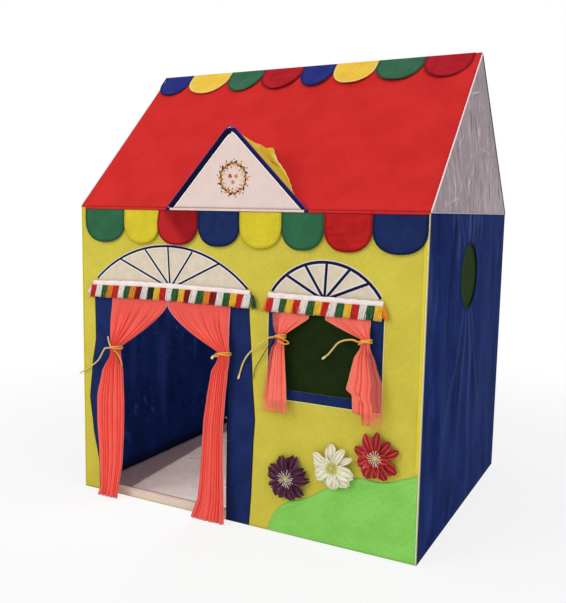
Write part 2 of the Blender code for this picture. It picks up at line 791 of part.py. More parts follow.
# Ties: the free end of each, by hand, from the left side of the curtain's waist
TIE_ENDS = {
    "door_tie_left": (
        (-0.4716, -0.5080, 0.5075), (-0.4840, -0.5080, 0.5060), (-0.5010, -0.5040, 0.4870),
        (-0.5200, -0.4990, 0.4625), (-0.5500, -0.4940, 0.4400), (-0.5830, -0.4910, 0.4200),
        (-0.6100, -0.4905, 0.4040),
    ),
    "door_tie_right": (
        (-0.0500, -0.5090, 0.5290), (-0.0538, -0.5122, 0.5266), (-0.0562, -0.5135, 0.5213),
    ),
    "window_tie_left": (
        (0.1470, -0.5040, 0.6026), (0.1330, -0.5020, 0.5990), (0.1120, -0.4970, 0.5850),
        (0.0800, -0.4930, 0.5620), (0.0550, -0.4900, 0.5370), (0.0393, -0.4885, 0.5130),
        (0.0292, -0.4880, 0.4850), (0.0234, -0.4880, 0.4660),
    ),
    "window_tie_right": (
        (0.4130, -0.5040, 0.6148), (0.3970, -0.5020, 0.6185), (0.3740, -0.4970, 0.6145),
        (0.3508, -0.4930, 0.6040), (0.3342, -0.4900, 0.5850), (0.3191, -0.4885, 0.5670),
        (0.3060, -0.4880, 0.5560),
    ),
}


def smooth_route(points, spacing):
    """Points at about this spacing on a curve through the given ones."""
    points = [Vector(point) for point in points]
    path = []
    for k in range(len(points) - 1):
        before = points[max(k - 1, 0)]
        start, end = points[k], points[k + 1]
        after = points[min(k + 2, len(points) - 1)]
        steps = max(1, round((end - start).length / spacing))
        for step in range(steps):
            s = step / steps
            straight = between(start, end, s)
            bend_in = (end - before) / 2 - (end - start)
            bend_out = (after - start) / 2 - (end - start)
            path.append(straight + bend_in * s * (1 - s) ** 2 - bend_out * s * s * (1 - s))
    return path + [points[-1]]


def least_gap(points, diameter):
    """Least gap between stretches of a cord that are at least two diameters apart along it."""
    gaps = []
    for k, point in enumerate(points):
        along = 0.0
        for before, after in zip(points[k:], points[k + 1:]):
            along += (after - before).length
            if along > 2 * diameter:
                gaps.append((after - point).length - diameter)
    return min(gaps)


def tie(name, curtain, loop_steps=20):
    """A cord once round the curtain's waist, whose end hangs free."""
    reach = TIE_DIAMETER / 2 + TIE_SLACK
    across, deep = curtain.width / 2 + reach, curtain.depth / 2 + reach
    start, end = math.radians(TIE_START_ANGLE), math.radians(TIE_END_ANGLE)
    points = []
    for k in range(loop_steps + 1):
        share = k / loop_steps
        angle = between(start, end, share)
        points.append(Vector((
            curtain.waist + across * math.cos(angle),
            curtain.waist_y + deep * math.sin(angle),
            curtain.tie + TIE_PITCH * (0.5 - share),
        )))
    points += smooth_route([points[-1], *TIE_ENDS[name]], 2 * TIE_DIAMETER)[1:]
    print(f"{name}: least gap to itself {least_gap(points, TIE_DIAMETER):.5f} m")
    curve = bpy.data.curves.new(name, "CURVE")
    curve.dimensions = "3D"
    curve.bevel_depth = TIE_DIAMETER / 2
    curve.bevel_resolution = 2
    curve.use_fill_caps = True
    spline = curve.splines.new("POLY")
    spline.points.add(len(points) - 1)
    for place, point in zip(spline.points, points):
        place.co = (*point, 1)
    curve.materials.append(material_for(name, GOLD))
    bpy.context.scene.collection.objects.link(bpy.data.objects.new(name, curve))


def curtains():
    for curtain, name in zip(CURTAINS, TIE_ENDS):
        curtain.make()
        tie(name, curtain)


# Flowers


FLOWER_RING_SHARES = ((0.22, 1.0), (0.55, 0.6), (0.85, 0.8), (1.0, 0.35))


def flower(name, place_shares, colour, steps=4 * PETAL_COUNT):
    """A cloth flower: petals round a raised middle, its back flat to the wall.

    Each ring is a share of the radius and of the height.
    """
    shape = bmesh.new()
    middle = shape.verts.new((0, -FLOWER_HEIGHT, 0))
    loops = []
    for out, lift in FLOWER_RING_SHARES:
        loop = []
        for k in range(steps):
            angle = 2 * math.pi * k / steps
            edge = abs(math.cos(PETAL_COUNT * angle / 2)) ** PETAL_ROUNDNESS
            reach = FLOWER_RADIUS * out * (1 - PETAL_NOTCH_SHARE * out * (1 - edge))
            height = -FLOWER_HEIGHT * lift
            loop.append(shape.verts.new((reach * math.cos(angle), height, reach * math.sin(angle))))
        loops.append(loop)
    loops.append([shape.verts.new((vert.co.x, 0, vert.co.z)) for vert in loops[-1]])
    for k in range(steps):
        shape.faces.new((middle, loops[0][k - 1], loops[0][k]))
        for inner, outer in zip(loops, loops[1:]):
            shape.faces.new((inner[k - 1], outer[k - 1], outer[k], inner[k]))
    shape.faces.new(loops[-1])
    across, up = place_shares
    object_from(name, shape, colour, (WIDTH * across, FRONT - GAP, EAVE_HEIGHT * up))


def flowers():
    flower("flower_purple", PURPLE_FLOWER_SHARES, PURPLE)
    flower("flower_white", WHITE_FLOWER_SHARES, WHITE)
    flower("flower_red", RED_FLOWER_SHARES, RED)


def main():
    clear_scene()
    frame()
    walls()
    nets()
    roof("front_roof", -1)
    roof("back_roof", 1)
    gable("left_gable", -1)
    gable("right_gable", 1)
    floor_sheet()
    dormer()
    eave_scallops()
    ridge_scallops()
    fringes()
    curtains()
    flowers()


main()
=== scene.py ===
import math
import random

import bmesh
import bpy
from mathutils import Matrix, Vector, noise


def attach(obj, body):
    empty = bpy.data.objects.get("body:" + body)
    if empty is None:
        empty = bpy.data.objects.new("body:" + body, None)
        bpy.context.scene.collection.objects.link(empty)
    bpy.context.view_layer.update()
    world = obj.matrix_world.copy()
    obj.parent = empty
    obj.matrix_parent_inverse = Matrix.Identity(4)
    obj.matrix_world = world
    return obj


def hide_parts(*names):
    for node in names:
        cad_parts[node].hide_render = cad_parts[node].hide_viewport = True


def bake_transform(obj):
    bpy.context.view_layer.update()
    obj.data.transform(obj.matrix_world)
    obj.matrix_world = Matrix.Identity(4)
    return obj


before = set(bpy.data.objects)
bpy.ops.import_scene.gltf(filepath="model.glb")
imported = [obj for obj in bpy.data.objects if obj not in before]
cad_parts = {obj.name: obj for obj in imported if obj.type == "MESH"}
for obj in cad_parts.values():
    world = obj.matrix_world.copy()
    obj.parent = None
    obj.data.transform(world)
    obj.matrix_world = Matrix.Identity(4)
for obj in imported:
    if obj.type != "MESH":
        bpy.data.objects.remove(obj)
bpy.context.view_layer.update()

print("tent frame loaded with", len(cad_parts), "nodes")

# The tent's own measures, in metres, with the front facing -Y
tent = {
    "side": 0.600,
    "front": -0.485,
    "back": 0.485,
    "wallTop": 0.9717,
    "eave": 0.975,
    "ridge": 1.470,
    "seamReach": 0.055,  # how close to a seam the cloth starts to pull flat
    "trims": 0.6003,  # where the trims of the two ends lie
}
roofPitch = math.atan2(tent["ridge"] - tent["eave"], tent["back"])


# Small sums that the pieces share

def ease(low, high, value):
    share = min(1.0, max(0.0, (value - low) / (high - low)))
    return share * share * (3 - 2 * share)


def mix(start, end, share):
    return start + (end - start) * share


def bell(away, wide):  # 1 in the middle of a soft ridge, fading to its sides
    return math.exp(-(away / wide) ** 2)


def wander(x, y, size, seed=0.0):  # smooth random height from -1 to 1 over patches of this size
    return noise.noise(Vector((x / size, y / size, seed * 7.31 + 0.5)))


def along(table, place):  # the value beside a place in a table of (place, value)
    for (low, start), (high, end) in zip(table, table[1:]):
        if place <= high:
            return mix(start, end, ease(low, high, place) * 0.35
                       + 0.65 * min(1.0, max(0.0, (place - low) / (high - low))))
    return table[-1][1]


def paint(red, green, blue):  # a colour of 0 to 255, as shaders want it
    def linear(level):
        level /= 255
        return level / 12.92 if level <= 0.04045 else ((level + 0.055) / 1.055) ** 2.4
    return linear(red), linear(green), linear(blue), 1.0


# The camera, solved from the corners of the front and the roof

cameraSetup = {
    "place": (1.1553, -2.3764, 0.9684),
    "turn": 0.4806,
    "tip": -0.1218,
    "roll": 0.0178,
    "lens": 43.92,
}


def placeCamera():
    turn, tip, roll = cameraSetup["turn"], cameraSetup["tip"], cameraSetup["roll"]
    forward = Vector((-math.sin(turn) * math.cos(tip), math.cos(turn) * math.cos(tip), math.sin(tip)))
    level = Vector((math.cos(turn), math.sin(turn), 0))
    upright = level.cross(forward)
    right = level * math.cos(roll) + upright * math.sin(roll)
    up = upright * math.cos(roll) - level * math.sin(roll)
    lens = bpy.data.cameras.new("tentCamera")
    lens.lens = cameraSetup["lens"]
    lens.sensor_width = 36
    lens.clip_end = 60
    camera = bpy.data.objects.new("tentCamera", lens)
    bpy.context.scene.collection.objects.link(camera)
    axes = Matrix((right, up, -forward)).transposed().to_4x4()
    camera.matrix_world = Matrix.Translation(cameraSetup["place"]) @ axes
    bpy.context.scene.camera = camera


placeCamera()


# Shader building

def feed(tree, socket, value):  # a link from another node, or a plain value
    if isinstance(value, bpy.types.NodeSocket):
        tree.links.new(value, socket)
    elif value is not None:
        socket.default_value = value


def addNode(tree, kind, inputs=None, **settings):
    node = tree.nodes.new(kind)
    for name, value in settings.items():
        setattr(node, name, value)
    for name, value in (inputs or {}).items():
        feed(tree, node.inputs[name], value)
    return node


def sums(tree, operation, *values):
    return addNode(tree, "ShaderNodeMath", dict(enumerate(values)), operation=operation).outputs[0]


def apart(tree, first, second):  # how far two numbers are from each other
    return sums(tree, "ABSOLUTE", sums(tree, "SUBTRACT", first, second))


def vectorSums(tree, operation, vector, **inputs):
    other = inputs.pop("other", None)
    made = addNode(tree, "ShaderNodeVectorMath", {0: vector, 1: other, **inputs}, operation=operation)
    return made.outputs[0]


def split(tree, vector):
    return list(addNode(tree, "ShaderNodeSeparateXYZ", {0: vector}).outputs)


def stretched(tree, vector, scale, turn=0.0):
    return addNode(tree, "ShaderNodeMapping", {
        "Vector": vector, "Rotation": (0, 0, turn), "Scale": scale,
    }).outputs[0]


def remap(tree, value, low, high, newLow=0.0, newHigh=1.0, smooth=True):
    return addNode(tree, "ShaderNodeMapRange", {
        "Value": value, "From Min": low, "From Max": high, "To Min": newLow, "To Max": newHigh,
    }, interpolation_type="SMOOTHSTEP" if smooth else "LINEAR").outputs["Result"]


def blendColours(tree, share, first, second):
    return addNode(tree, "ShaderNodeMix", {0: share, 6: first, 7: second}, data_type="RGBA").outputs[2]


def lighten(tree, colour, amount):  # makes a colour lighter or darker by a signed share
    return vectorSums(tree, "SCALE", colour, Scale=sums(tree, "ADD", amount, 1.0))


def cloudAt(tree, vector, scale, detail, **more):
    return addNode(tree, "ShaderNodeTexNoise", {
        "Vector": vector, "Scale": scale, "Detail": detail, **more,
    }).outputs["Fac"]


def uvLayer(tree, name="cloth"):
    return addNode(tree, "ShaderNodeUVMap", uv_map=name).outputs[0]


def objectSpot(tree):
    return addNode(tree, "ShaderNodeTexCoord").outputs["Object"]


def makeGroup(name, inputs, outputs, build):
    # inputs are numbers, or None for a place on the cloth; build gives the outputs in their order
    group = bpy.data.node_groups.new(name, "ShaderNodeTree")
    for label, value in inputs.items():
        kind = "NodeSocketVector" if value is None else "NodeSocketFloat"
        socket = group.interface.new_socket(label, in_out="INPUT", socket_type=kind)
        if value is not None:
            socket.default_value = value
    for label in outputs:
        group.interface.new_socket(label, in_out="OUTPUT", socket_type="NodeSocketFloat")
    given = group.nodes.new("NodeGroupInput").outputs
    end = group.nodes.new("NodeGroupOutput")
    for label, value in zip(outputs, build(group, given)):
        group.links.new(value, end.inputs[label])
    return group


def weaveThreads(tree, given):  # threads over and under each other
    parts = split(tree, vectorSums(tree, "SCALE", given["Cloth"], Scale=given["Threads"]))[:2]
    warp, weft = [sums(tree, "ABSOLUTE", sums(tree, "SINE", sums(tree, "MULTIPLY", part, math.pi)))
                  for part in parts]
    corner = sums(tree, "ADD", *[sums(tree, "FLOOR", part) for part in parts])
    over = sums(tree, "ABSOLUTE", sums(tree, "MODULO", corner, 2.0))
    under = sums(tree, "SUBTRACT", 1.0, over)
    height = sums(tree, "ADD", sums(tree, "MULTIPLY", warp, over), sums(tree, "MULTIPLY", weft, under))
    slub = cloudAt(tree, stretched(tree, given["Cloth"], (900, 25, 1)), 1.0, 2.0)
    return height, sums(tree, "MULTIPLY", sums(tree, "SUBTRACT", slub, 0.5), given["Slub"])


def pressFibre(tree, given):  # pressed fibres of felt and non-woven cloth, with the dots of its rollers
    hair = [cloudAt(tree, stretched(tree, given["Cloth"], (1, thin, 1), turn), given["Scale"], 3.0,
                    Distortion=0.6)
            for turn, thin in ((0.5, 0.12), (-0.7, 0.10), (1.9, 0.14))]
    fibre = sums(tree, "MAXIMUM", hair[0], sums(tree, "MAXIMUM", hair[1], hair[2]))
    dot = addNode(tree, "ShaderNodeTexVoronoi", {
        "Vector": given["Cloth"], "Scale": 620.0, "Randomness": 0.25,
    })
    press = remap(tree, dot.outputs["Distance"], 0.18, 0.34)
    pressed = sums(tree, "MULTIPLY", sums(tree, "SUBTRACT", press, 1.0), given["Dots"])
    return sums(tree, "ADD", fibre, pressed), sums(tree, "SUBTRACT", fibre, 0.55)


def paintCreaseLight(tree, given):  # creases left by folding and packing: a bump, and painted highlight lines with painted shade lines beside them
    bend = addNode(tree, "ShaderNodeTexNoise", {"Vector": given["Cloth"], "Scale": 9.0, "Detail": 3.0})
    pushed = vectorSums(tree, "MULTIPLY", bend.outputs["Color"], other=(0.09, 0.09, 0.0))
    moved = vectorSums(tree, "ADD", given["Cloth"], other=pushed)
    across, up = split(tree, moved)[:2]
    joined = addNode(tree, "ShaderNodeCombineXYZ", {
        0: across, 1: sums(tree, "MULTIPLY", up, given["Stretch"]),
    }).outputs[0]
    lines = []
    for size, strength in ((1.0, 1.0), (2.3, 0.6), (4.6, 0.4)):
        scale = sums(tree, "MULTIPLY", given["Scale"], size)
        soft = cloudAt(tree, joined, scale, 1.5, Distortion=0.4)
        where = cloudAt(tree, moved, sums(tree, "MULTIPLY", scale, 0.6), 1.0)
        light = remap(tree, apart(tree, soft, 0.5), 0.0, given["Width"], strength, 0.0)
        dark = remap(tree, apart(tree, soft, 0.455), 0.0, given["Width"], 0.7 * strength, 0.0)
        lines.append(sums(tree, "MULTIPLY", sums(tree, "SUBTRACT", light, dark),
                          remap(tree, where, 0.42, 0.60)))
    height = sums(tree, "ADD", sums(tree, "ADD", lines[0], lines[1]), lines[2])
    return height, height


def mottleDye(tree, given):  # uneven dye, from hand-sized clouds down to specks
    cloud = cloudAt(tree, given["Cloth"], given["Scale"], 6.0, Roughness=0.62)
    return [sums(tree, "SUBTRACT", cloud, 0.5)]


def stitchHem(tree, given):  # a row of stitches and the fold of the hem beside an edge
    run, away = split(tree, given["Hem"])[:2]
    beat = apart(tree, sums(tree, "FRACT", sums(tree, "DIVIDE", run, given["Length"])), 0.5)
    dash = remap(tree, beat, 0.30, 0.40, 1.0, 0.0)
    wide = sums(tree, "DIVIDE", apart(tree, away, given["Inset"]), given["Thread"])
    inside = sums(tree, "DIVIDE", away, given["Inset"])
    return (sums(tree, "MULTIPLY", dash, remap(tree, wide, 0.6, 1.2, 1.0, 0.0)),
            remap(tree, inside, 1.15, 1.35, 1.0, 0.0), remap(tree, inside, 0.10, 0.45, 1.0, 0.0))


def knotNet(tree, given):  # the threads round the holes of a net
    rim = sums(tree, "SUBTRACT", 0.5, given["Thread"])
    parts = split(tree, vectorSums(tree, "SCALE", given["Cloth"], Scale=given["Holes"]))[:2]
    return [sums(tree, "MAXIMUM", *[
        sums(tree, "GREATER_THAN", apart(tree, sums(tree, "FRACT", part), 0.5), rim) for part in parts])]


groups = {
    "weave": makeGroup("threadWeave", {"Cloth": None, "Threads": 2000.0, "Slub": 0.3},
                       ["Height", "Shade"], weaveThreads),
    "fibre": makeGroup("pressedFibre", {"Cloth": None, "Scale": 900.0, "Dots": 0.5},
                       ["Height", "Shade"], pressFibre),
    "crease": makeGroup("creaseBumpAndPaintedLight", {"Cloth": None, "Scale": 14.0, "Stretch": 1.0, "Width": 0.06},
                        ["Height", "Shade"], paintCreaseLight),
    "mottle": makeGroup("dyeMottle", {"Cloth": None, "Scale": 12.0}, ["Shade"], mottleDye),
    "stitch": makeGroup("hemStitch", {"Hem": None, "Inset": 0.008, "Length": 0.004, "Thread": 0.0006},
                        ["Stitch", "Fold", "Edge"], stitchHem),
    "net": makeGroup("netHoles", {"Cloth": None, "Holes": 700.0, "Thread": 0.3}, ["Thread"], knotNet),
}


def useGroup(tree, kind, **inputs):
    return addNode(tree, "ShaderNodeGroup", inputs, node_tree=groups[kind]).outputs


def startMaterial(name):
    material = bpy.data.materials.new(name)
    material.use_nodes = True
    tree = material.node_tree
    return material, tree, tree.nodes["Principled BSDF"]


def endMaterial(tree, shader, tone, bumps, roughness, gloss, sheen=0.0):
    # bumps are (height, depth in metres, strength)
    normal = None
    for height, deep, strength in bumps:
        normal = addNode(tree, "ShaderNodeBump", {
            "Height": height, "Distance": deep, "Strength": strength, "Normal": normal,
        }).outputs[0]
    for name, value in (("Base Color", tone), ("Normal", normal), ("Roughness", roughness),
                        ("Specular IOR Level", gloss), ("Sheen Weight", sheen)):
        feed(tree, shader.inputs[name], value)


def darker(colour, share):
    return tuple(part * share for part in colour[:3]) + (1.0,)


# Cloth finishes: colour, a second colour of its mottling, and how strong each effect is

def clothFinish(name, colour, other, mottle=0.5, mottleScale=12.0, fibre=0.0, weave=0.0,
                threads=1600.0, crease=0.0, creaseScale=14.0, creaseStretch=1.0, creaseLight=0.0,
                creaseWidth=0.06, roughness=0.85, sheen=0.04, sheenTint=None, hem=None,
                hemColour=None, rim=None, thread=None, hemInset=0.008, sheer=(), gloss=0.08,
                crest=None, valley=None):
    material, tree, shader = startMaterial(name)
    cloth = uvLayer(tree)
    cloud = useGroup(tree, "mottle", Cloth=cloth, Scale=mottleScale)["Shade"]
    share = sums(tree, "MULTIPLY", remap(tree, cloud, -0.22, 0.22), mottle)
    tone = blendColours(tree, share, colour, other)
    bumps = []
    for strength, deep, shading, kind, inputs in (
            (fibre, 0.00012, 1.4 * fibre, "fibre", {}),
            (weave, 0.00010, weave, "weave", {"Threads": threads, "Slub": 0.25}),
            (crease, 0.0020, creaseLight, "crease",
             {"Scale": creaseScale, "Stretch": creaseStretch, "Width": creaseWidth})):
        if strength:
            made = useGroup(tree, kind, Cloth=cloth, **inputs)
            tone = lighten(tree, tone, sums(tree, "MULTIPLY", made["Shade"], shading))
            bumps.append((made["Height"], deep * strength, 1.0))
    if crest:  # painted highlight in the crest colour and painted shade in the valley colour, as much as the piece's own "fold" layer gives
        high, deep = split(tree, uvLayer(tree, "fold"))[:2]
        tone = blendColours(tree, high, tone, crest)
        if valley:
            tone = blendColours(tree, deep, tone, valley)
    if hem:
        made = useGroup(tree, "stitch", Hem=uvLayer(tree, "hem"), Inset=hemInset)
        tone = blendColours(tree, sums(tree, "MULTIPLY", made["Fold"], hem), tone, hemColour)
        edge = sums(tree, "MULTIPLY", made["Edge"], 0.6)
        tone = blendColours(tree, edge, tone, rim or darker(hemColour, 0.45))
        tone = blendColours(tree, made["Stitch"], tone, thread or hemColour)
        bumps += [(made["Fold"], 0.0004, 1.0), (made["Stitch"], 0.0003, 1.0)]
    spread = sums(tree, "MULTIPLY_ADD", cloud, 0.18, roughness)
    endMaterial(tree, shader, tone, bumps, spread, gloss, sheen)
    shader.inputs["Sheen Roughness"].default_value = 0.5
    shader.inputs["Sheen Tint"].default_value = sheenTint or colour
    if sheer:  # where single cloth shows what is behind it, across (0) or up (1) the cloth
        spot = split(tree, cloth)
        solid = 1.0
        for way, low, high, below, above, *top in sheer:
            part = remap(tree, spot[way], low, high, below, above)
            if top:  # only below this height
                part = sums(tree, "MAXIMUM", part, remap(tree, spot[1], top[0] - 0.03, top[0]))
            solid = sums(tree, "MULTIPLY", part, solid)
        tree.links.new(solid, shader.inputs["Alpha"])
    return material


navyWall = dict(weave=0.8, roughness=0.88, gloss=0.03, sheen=0.0, creaseWidth=0.03)
nylon = dict(mottle=0.5, weave=0.7, crease=0.6, roughness=0.6, gloss=0.12)

yellowCloth = clothFinish("yellowCloth", paint(212, 199, 76), paint(194, 177, 60), mottle=0.6,
                          mottleScale=7.0, fibre=0.7)
# crest is the colour of a painted highlight on the folds and valley that of a painted shade in them;
# creaseLight paints highlight and shade along the creases. The same holds for the gable's and the dormer
# cover's finishes below.
navyCloth = clothFinish("navyCloth", paint(25, 46, 108), paint(18, 33, 82), mottle=0.8,
                        mottleScale=6.0, crease=0.3, creaseScale=16.0, creaseStretch=0.25,
                        creaseLight=0.30, crest=paint(84, 100, 152), valley=paint(10, 18, 46),
                        **navyWall)
leftNavy = clothFinish("leftNavyCloth", paint(25, 46, 108), paint(18, 33, 82), mottle=0.9,
                       mottleScale=5.0, crease=0.4, creaseStretch=0.5, creaseLight=0.5,
                       crest=paint(70, 96, 176), valley=paint(14, 24, 60), **navyWall)
redCloth = clothFinish("redCloth", paint(210, 45, 42), paint(192, 34, 34), mottle=0.6,
                       mottleScale=8.0, fibre=0.8)
greyNylon = clothFinish("greyNylon", paint(158, 141, 150), paint(178, 162, 168), mottleScale=14.0,
                        creaseScale=20.0, creaseStretch=0.30, creaseLight=0.26, creaseWidth=0.035,
                        crest=paint(226, 212, 216), valley=paint(98, 82, 92), **nylon)
# The floor's crest colour is a painted shadow on the strip beside the left wall, its valley colour a pale
# line along that shadow's edge, and creaseLight paints highlight and shade along its creases.
floorNylon = clothFinish("floorNylon", paint(255, 240, 236), paint(230, 212, 208), mottleScale=5.0,
                         creaseScale=9.0, creaseStretch=3.2, creaseWidth=0.05, creaseLight=0.20,
                         crest=paint(150, 130, 136), valley=paint(236, 220, 216), **nylon)
stripNavy = clothFinish("stripNavy", paint(29, 46, 100), paint(22, 34, 76), mottle=0.7,
                        mottleScale=14.0, fibre=0.7, crease=0.2, creaseScale=12.0, hem=0.6,
                        hemColour=paint(14, 20, 44), thread=paint(60, 70, 110), hemInset=0.005)
hillCloth = clothFinish("hillCloth", paint(144, 214, 100), paint(124, 194, 82), mottle=0.7,
                        mottleScale=10.0, fibre=0.8, crease=0.12, creaseScale=9.0, hem=0.25,
                        hemColour=paint(146, 214, 104), rim=paint(112, 178, 76),
                        thread=paint(176, 222, 140), hemInset=0.010)
dormerCloth = clothFinish("dormerCloth", paint(232, 204, 60), paint(208, 174, 44), mottle=0.7,
                          mottleScale=14.0, fibre=0.8, crease=0.3, creaseScale=12.0,
                          crest=paint(255, 240, 130), valley=paint(170, 120, 30))

# Tapes, sleeves and linings: colour, deeper colour, strength and size of the mottling, strength of
# the weave and its threads to a metre
wovenCloths = {
    "sleeveCream": ((232, 212, 196), (220, 196, 178), 0.7, 16.0, 0.9, 1100.0),
    "hemBrown": ((92, 62, 50), (66, 44, 36), 0.6, 30.0, 0.8, 1600.0),
    "creamCloth": ((227, 213, 191), (214, 197, 170), 0.8, 30.0, 0.9, 1100.0),
    "whiteCloth": ((238, 234, 226), (216, 208, 196), 0.6, 40.0, 0.9, 1300.0),
    "bandCloth": ((252, 242, 238), (240, 216, 212), 0.7, 30.0, 0.9, 1300.0),
    "bindingCloth": ((20, 20, 58), (40, 30, 84), 0.6, 30.0, 0.9, 1300.0),
    "bindingBlack": ((14, 14, 48), (8, 8, 30), 0.6, 24.0, 0.8, 1300.0),
    "bindingBlue": ((28, 28, 84), (18, 18, 60), 0.6, 24.0, 0.8, 1300.0),
    "dormerPanelCloth": ((234, 212, 204), (226, 202, 194), 0.6, 20.0, 0.9, 1300.0),
    "lilacEdge": ((96, 78, 150), (70, 52, 120), 0.6, 30.0, 0.8, 1300.0),
    "rimNavy": ((26, 40, 84), (18, 28, 62), 0.6, 30.0, 0.8, 1300.0),
    "seamGrey": ((70, 66, 76), (50, 46, 56), 0.5, 30.0, 0.8, 1300.0),
    "pipingWhite": ((255, 246, 242), (250, 226, 222), 0.6, 30.0, 0.8, 1300.0),
    "seamPale": ((196, 188, 188), (170, 160, 164), 0.6, 40.0, 0.8, 1300.0),
    "yellowPiping": ((232, 216, 60), (214, 194, 50), 0.5, 40.0, 0.8, 1600.0),
    "sillPiping": ((226, 222, 152), (206, 200, 128), 0.5, 40.0, 0.8, 1600.0),
}
woven = {name: clothFinish(name, paint(*colour), paint(*deep), mottle=mottle, mottleScale=size,
                           weave=weave, threads=threads)
         for name, (colour, deep, mottle, size, weave, threads) in wovenCloths.items()}
woven["sleeveNavy"] = clothFinish("sleeveNavy", paint(16, 26, 58), paint(10, 17, 40), mottle=0.8,
                                  mottleScale=16.0, weave=0.8, gloss=0.03, sheen=0.0)


def coralFinish(name, colour, deep, hem, hemColour, rim, thread, sheer):
    return clothFinish(name, paint(*colour), paint(*deep), mottle=0.6, mottleScale=18.0, weave=0.9,
                       threads=2400.0, roughness=0.5, sheen=0.20, gloss=0.15,
                       sheenTint=paint(255, 190, 180), hem=hem, hemColour=paint(*hemColour),
                       rim=paint(*rim), thread=paint(*thread), hemInset=0.0045, sheer=sheer)


def windowCoral(name, *sheer):
    return coralFinish(name, (255, 124, 106), (250, 104, 90), 0.6, (238, 146, 96), (190, 160, 90),
                       (240, 130, 100),
                       [(1, 0.386, 0.426, 0.42, 1.0), (1, 0.62, 0.68, 1.0, 0.85), *sheer])


# The pale pink-lilac line along the door curtains' hem edges is a painted highlight.
curtainCoral = coralFinish("curtainCoral", (251, 98, 84), (238, 80, 70), 0.7, (240, 138, 140),
                           (230, 160, 196), (240, 120, 116), [(1, 0.575, 0.665, 1.0, 0.84)])
windowLeftCoral = windowCoral("windowLeftCoral", (0, 0.006, 0.040, 0.34, 1.0))
windowRightCoral = windowCoral("windowRightCoral", (0, 0.086, 0.094, 1.0, 0.38, 0.60))


def feltFinish(name, colour, deep, edge, **more):
    return clothFinish(name + "Felt", paint(*colour), paint(*deep), mottle=0.7, mottleScale=16.0,
                       fibre=1.0, roughness=0.8, hem=0.55, hemColour=paint(*edge), hemInset=0.006, **more)


felts = {name: feltFinish(name, *colours) for name, colours in {
    "green": ((50, 106, 72), (38, 86, 56), (30, 74, 46)),
    "yellow": ((216, 199, 50), (198, 180, 42), (190, 172, 38)),
    "red": ((190, 34, 32), (160, 22, 24), (134, 16, 18)),
    "blue": ((28, 45, 94), (20, 32, 72), (14, 22, 50)),
    "ridgeBlue": ((38, 48, 128), (28, 36, 104), (18, 22, 66)),
    "amber": ((240, 200, 74), (226, 182, 60), (240, 216, 140)),
    "ridgeGreen": ((58, 108, 80), (44, 88, 62), (30, 68, 48)),
    "ridgeRed": ((186, 30, 42), (150, 18, 30), (112, 12, 22)),
}.items()}
# The third eave scallop's felt: its own colour is a dark crimson of painted shade, and its crest colour
# is the painted highlight where its fold turns to the light.
felts["foldedRed"] = feltFinish("foldedRed", (154, 20, 26), (128, 12, 20), (112, 12, 18),
                                crest=paint(184, 36, 38))


def netFinish(name, colour, close):
    material, tree, shader = startMaterial(name)
    cloth = uvLayer(tree)
    threads = useGroup(tree, "net", Cloth=cloth, Holes=620.0, Thread=0.38)["Thread"]
    cloud = useGroup(tree, "mottle", Cloth=cloth, Scale=20.0)["Shade"]
    tone = blendColours(tree, remap(tree, cloud, -0.2, 0.2), colour, darker(colour, 0.7))
    tree.links.new(remap(tree, threads, 0.0, 1.0, close, 1.0, smooth=False), shader.inputs["Alpha"])
    endMaterial(tree, shader, tone, [(threads, 0.0002, 1.0)], 0.8, 0.08)
    return material


greenNet = netFinish("greenNet", paint(30, 45, 12), 0.80)
roundGreen = netFinish("roundGreen", paint(30, 52, 0), 0.94)


def cordFinish(name, colour, deep, end=None):
    # braid from the piece's own uv, fading to another colour along the free end
    material, tree, shader = startMaterial(name)
    run, turn = split(tree, uvLayer(tree))[:2]
    beats = sums(tree, "MULTIPLY", run, 190.0)
    waves = []
    for way in (1.0, -1.0):
        turned = sums(tree, "ADD", beats, sums(tree, "MULTIPLY", turn, 3.0 * way))
        waves.append(sums(tree, "SINE", sums(tree, "MULTIPLY", turned, 2 * math.pi)))
    braid = sums(tree, "MULTIPLY", *waves)
    tone = blendColours(tree, remap(tree, braid, -0.9, 0.5), deep, colour)
    if end:
        tone = blendColours(tree, remap(tree, run, 0.085, 0.150, 0.0, 0.85), tone, end)
    endMaterial(tree, shader, tone, [(braid, 0.0005, 1.0)], 0.75, 0.15, 0.1)
    return material


tieYellow = cordFinish("tieYellow", paint(255, 202, 88), paint(238, 160, 60))
tieFading = cordFinish("tieFading", paint(255, 202, 88), paint(238, 160, 60), end=paint(230, 216, 140))
tiePale = cordFinish("tiePale", paint(248, 236, 176), paint(226, 204, 130))
# a dark brown whose strands stand for the shadows the cords cast on the cloth behind them
cordShadow = cordFinish("cordShadow", paint(120, 92, 50), paint(70, 52, 34))


def yarnFinish(name, colour, deep):  # twisted yarn, lighter and darker by strand
    material, tree, shader = startMaterial(name)
    spot = objectSpot(tree)
    grain = cloudAt(tree, stretched(tree, spot, (420, 420, 60)), 1.0, 3.0)
    tone = blendColours(tree, remap(tree, grain, 0.32, 0.66), deep, colour)
    twist = addNode(tree, "ShaderNodeTexWave", {"Vector": spot, "Scale": 260.0, "Distortion": 2.0},
                    bands_direction="DIAGONAL")
    endMaterial(tree, shader, tone, [(twist.outputs["Fac"], 0.0003, 1.0)], 0.9, 0.1, 0.15)
    return material


yarns = {name: yarnFinish(name + "Yarn", paint(*colour), paint(*deep)) for name, (colour, deep) in {
    "red": ((226, 48, 40), (180, 24, 26)),
    "white": ((250, 246, 238), (226, 216, 208)),
    "green": ((62, 118, 62), (28, 70, 34)),
    "darkRed": ((158, 22, 22), (112, 12, 14)),
    "darkGreen": ((34, 72, 36), (12, 34, 18)),
    "orange": ((246, 158, 44), (222, 116, 30)),
    "yellow": ((250, 212, 70), (232, 176, 44)),
}.items()}

print("finishes made:", len(bpy.data.materials))


# Making pieces from a bmesh

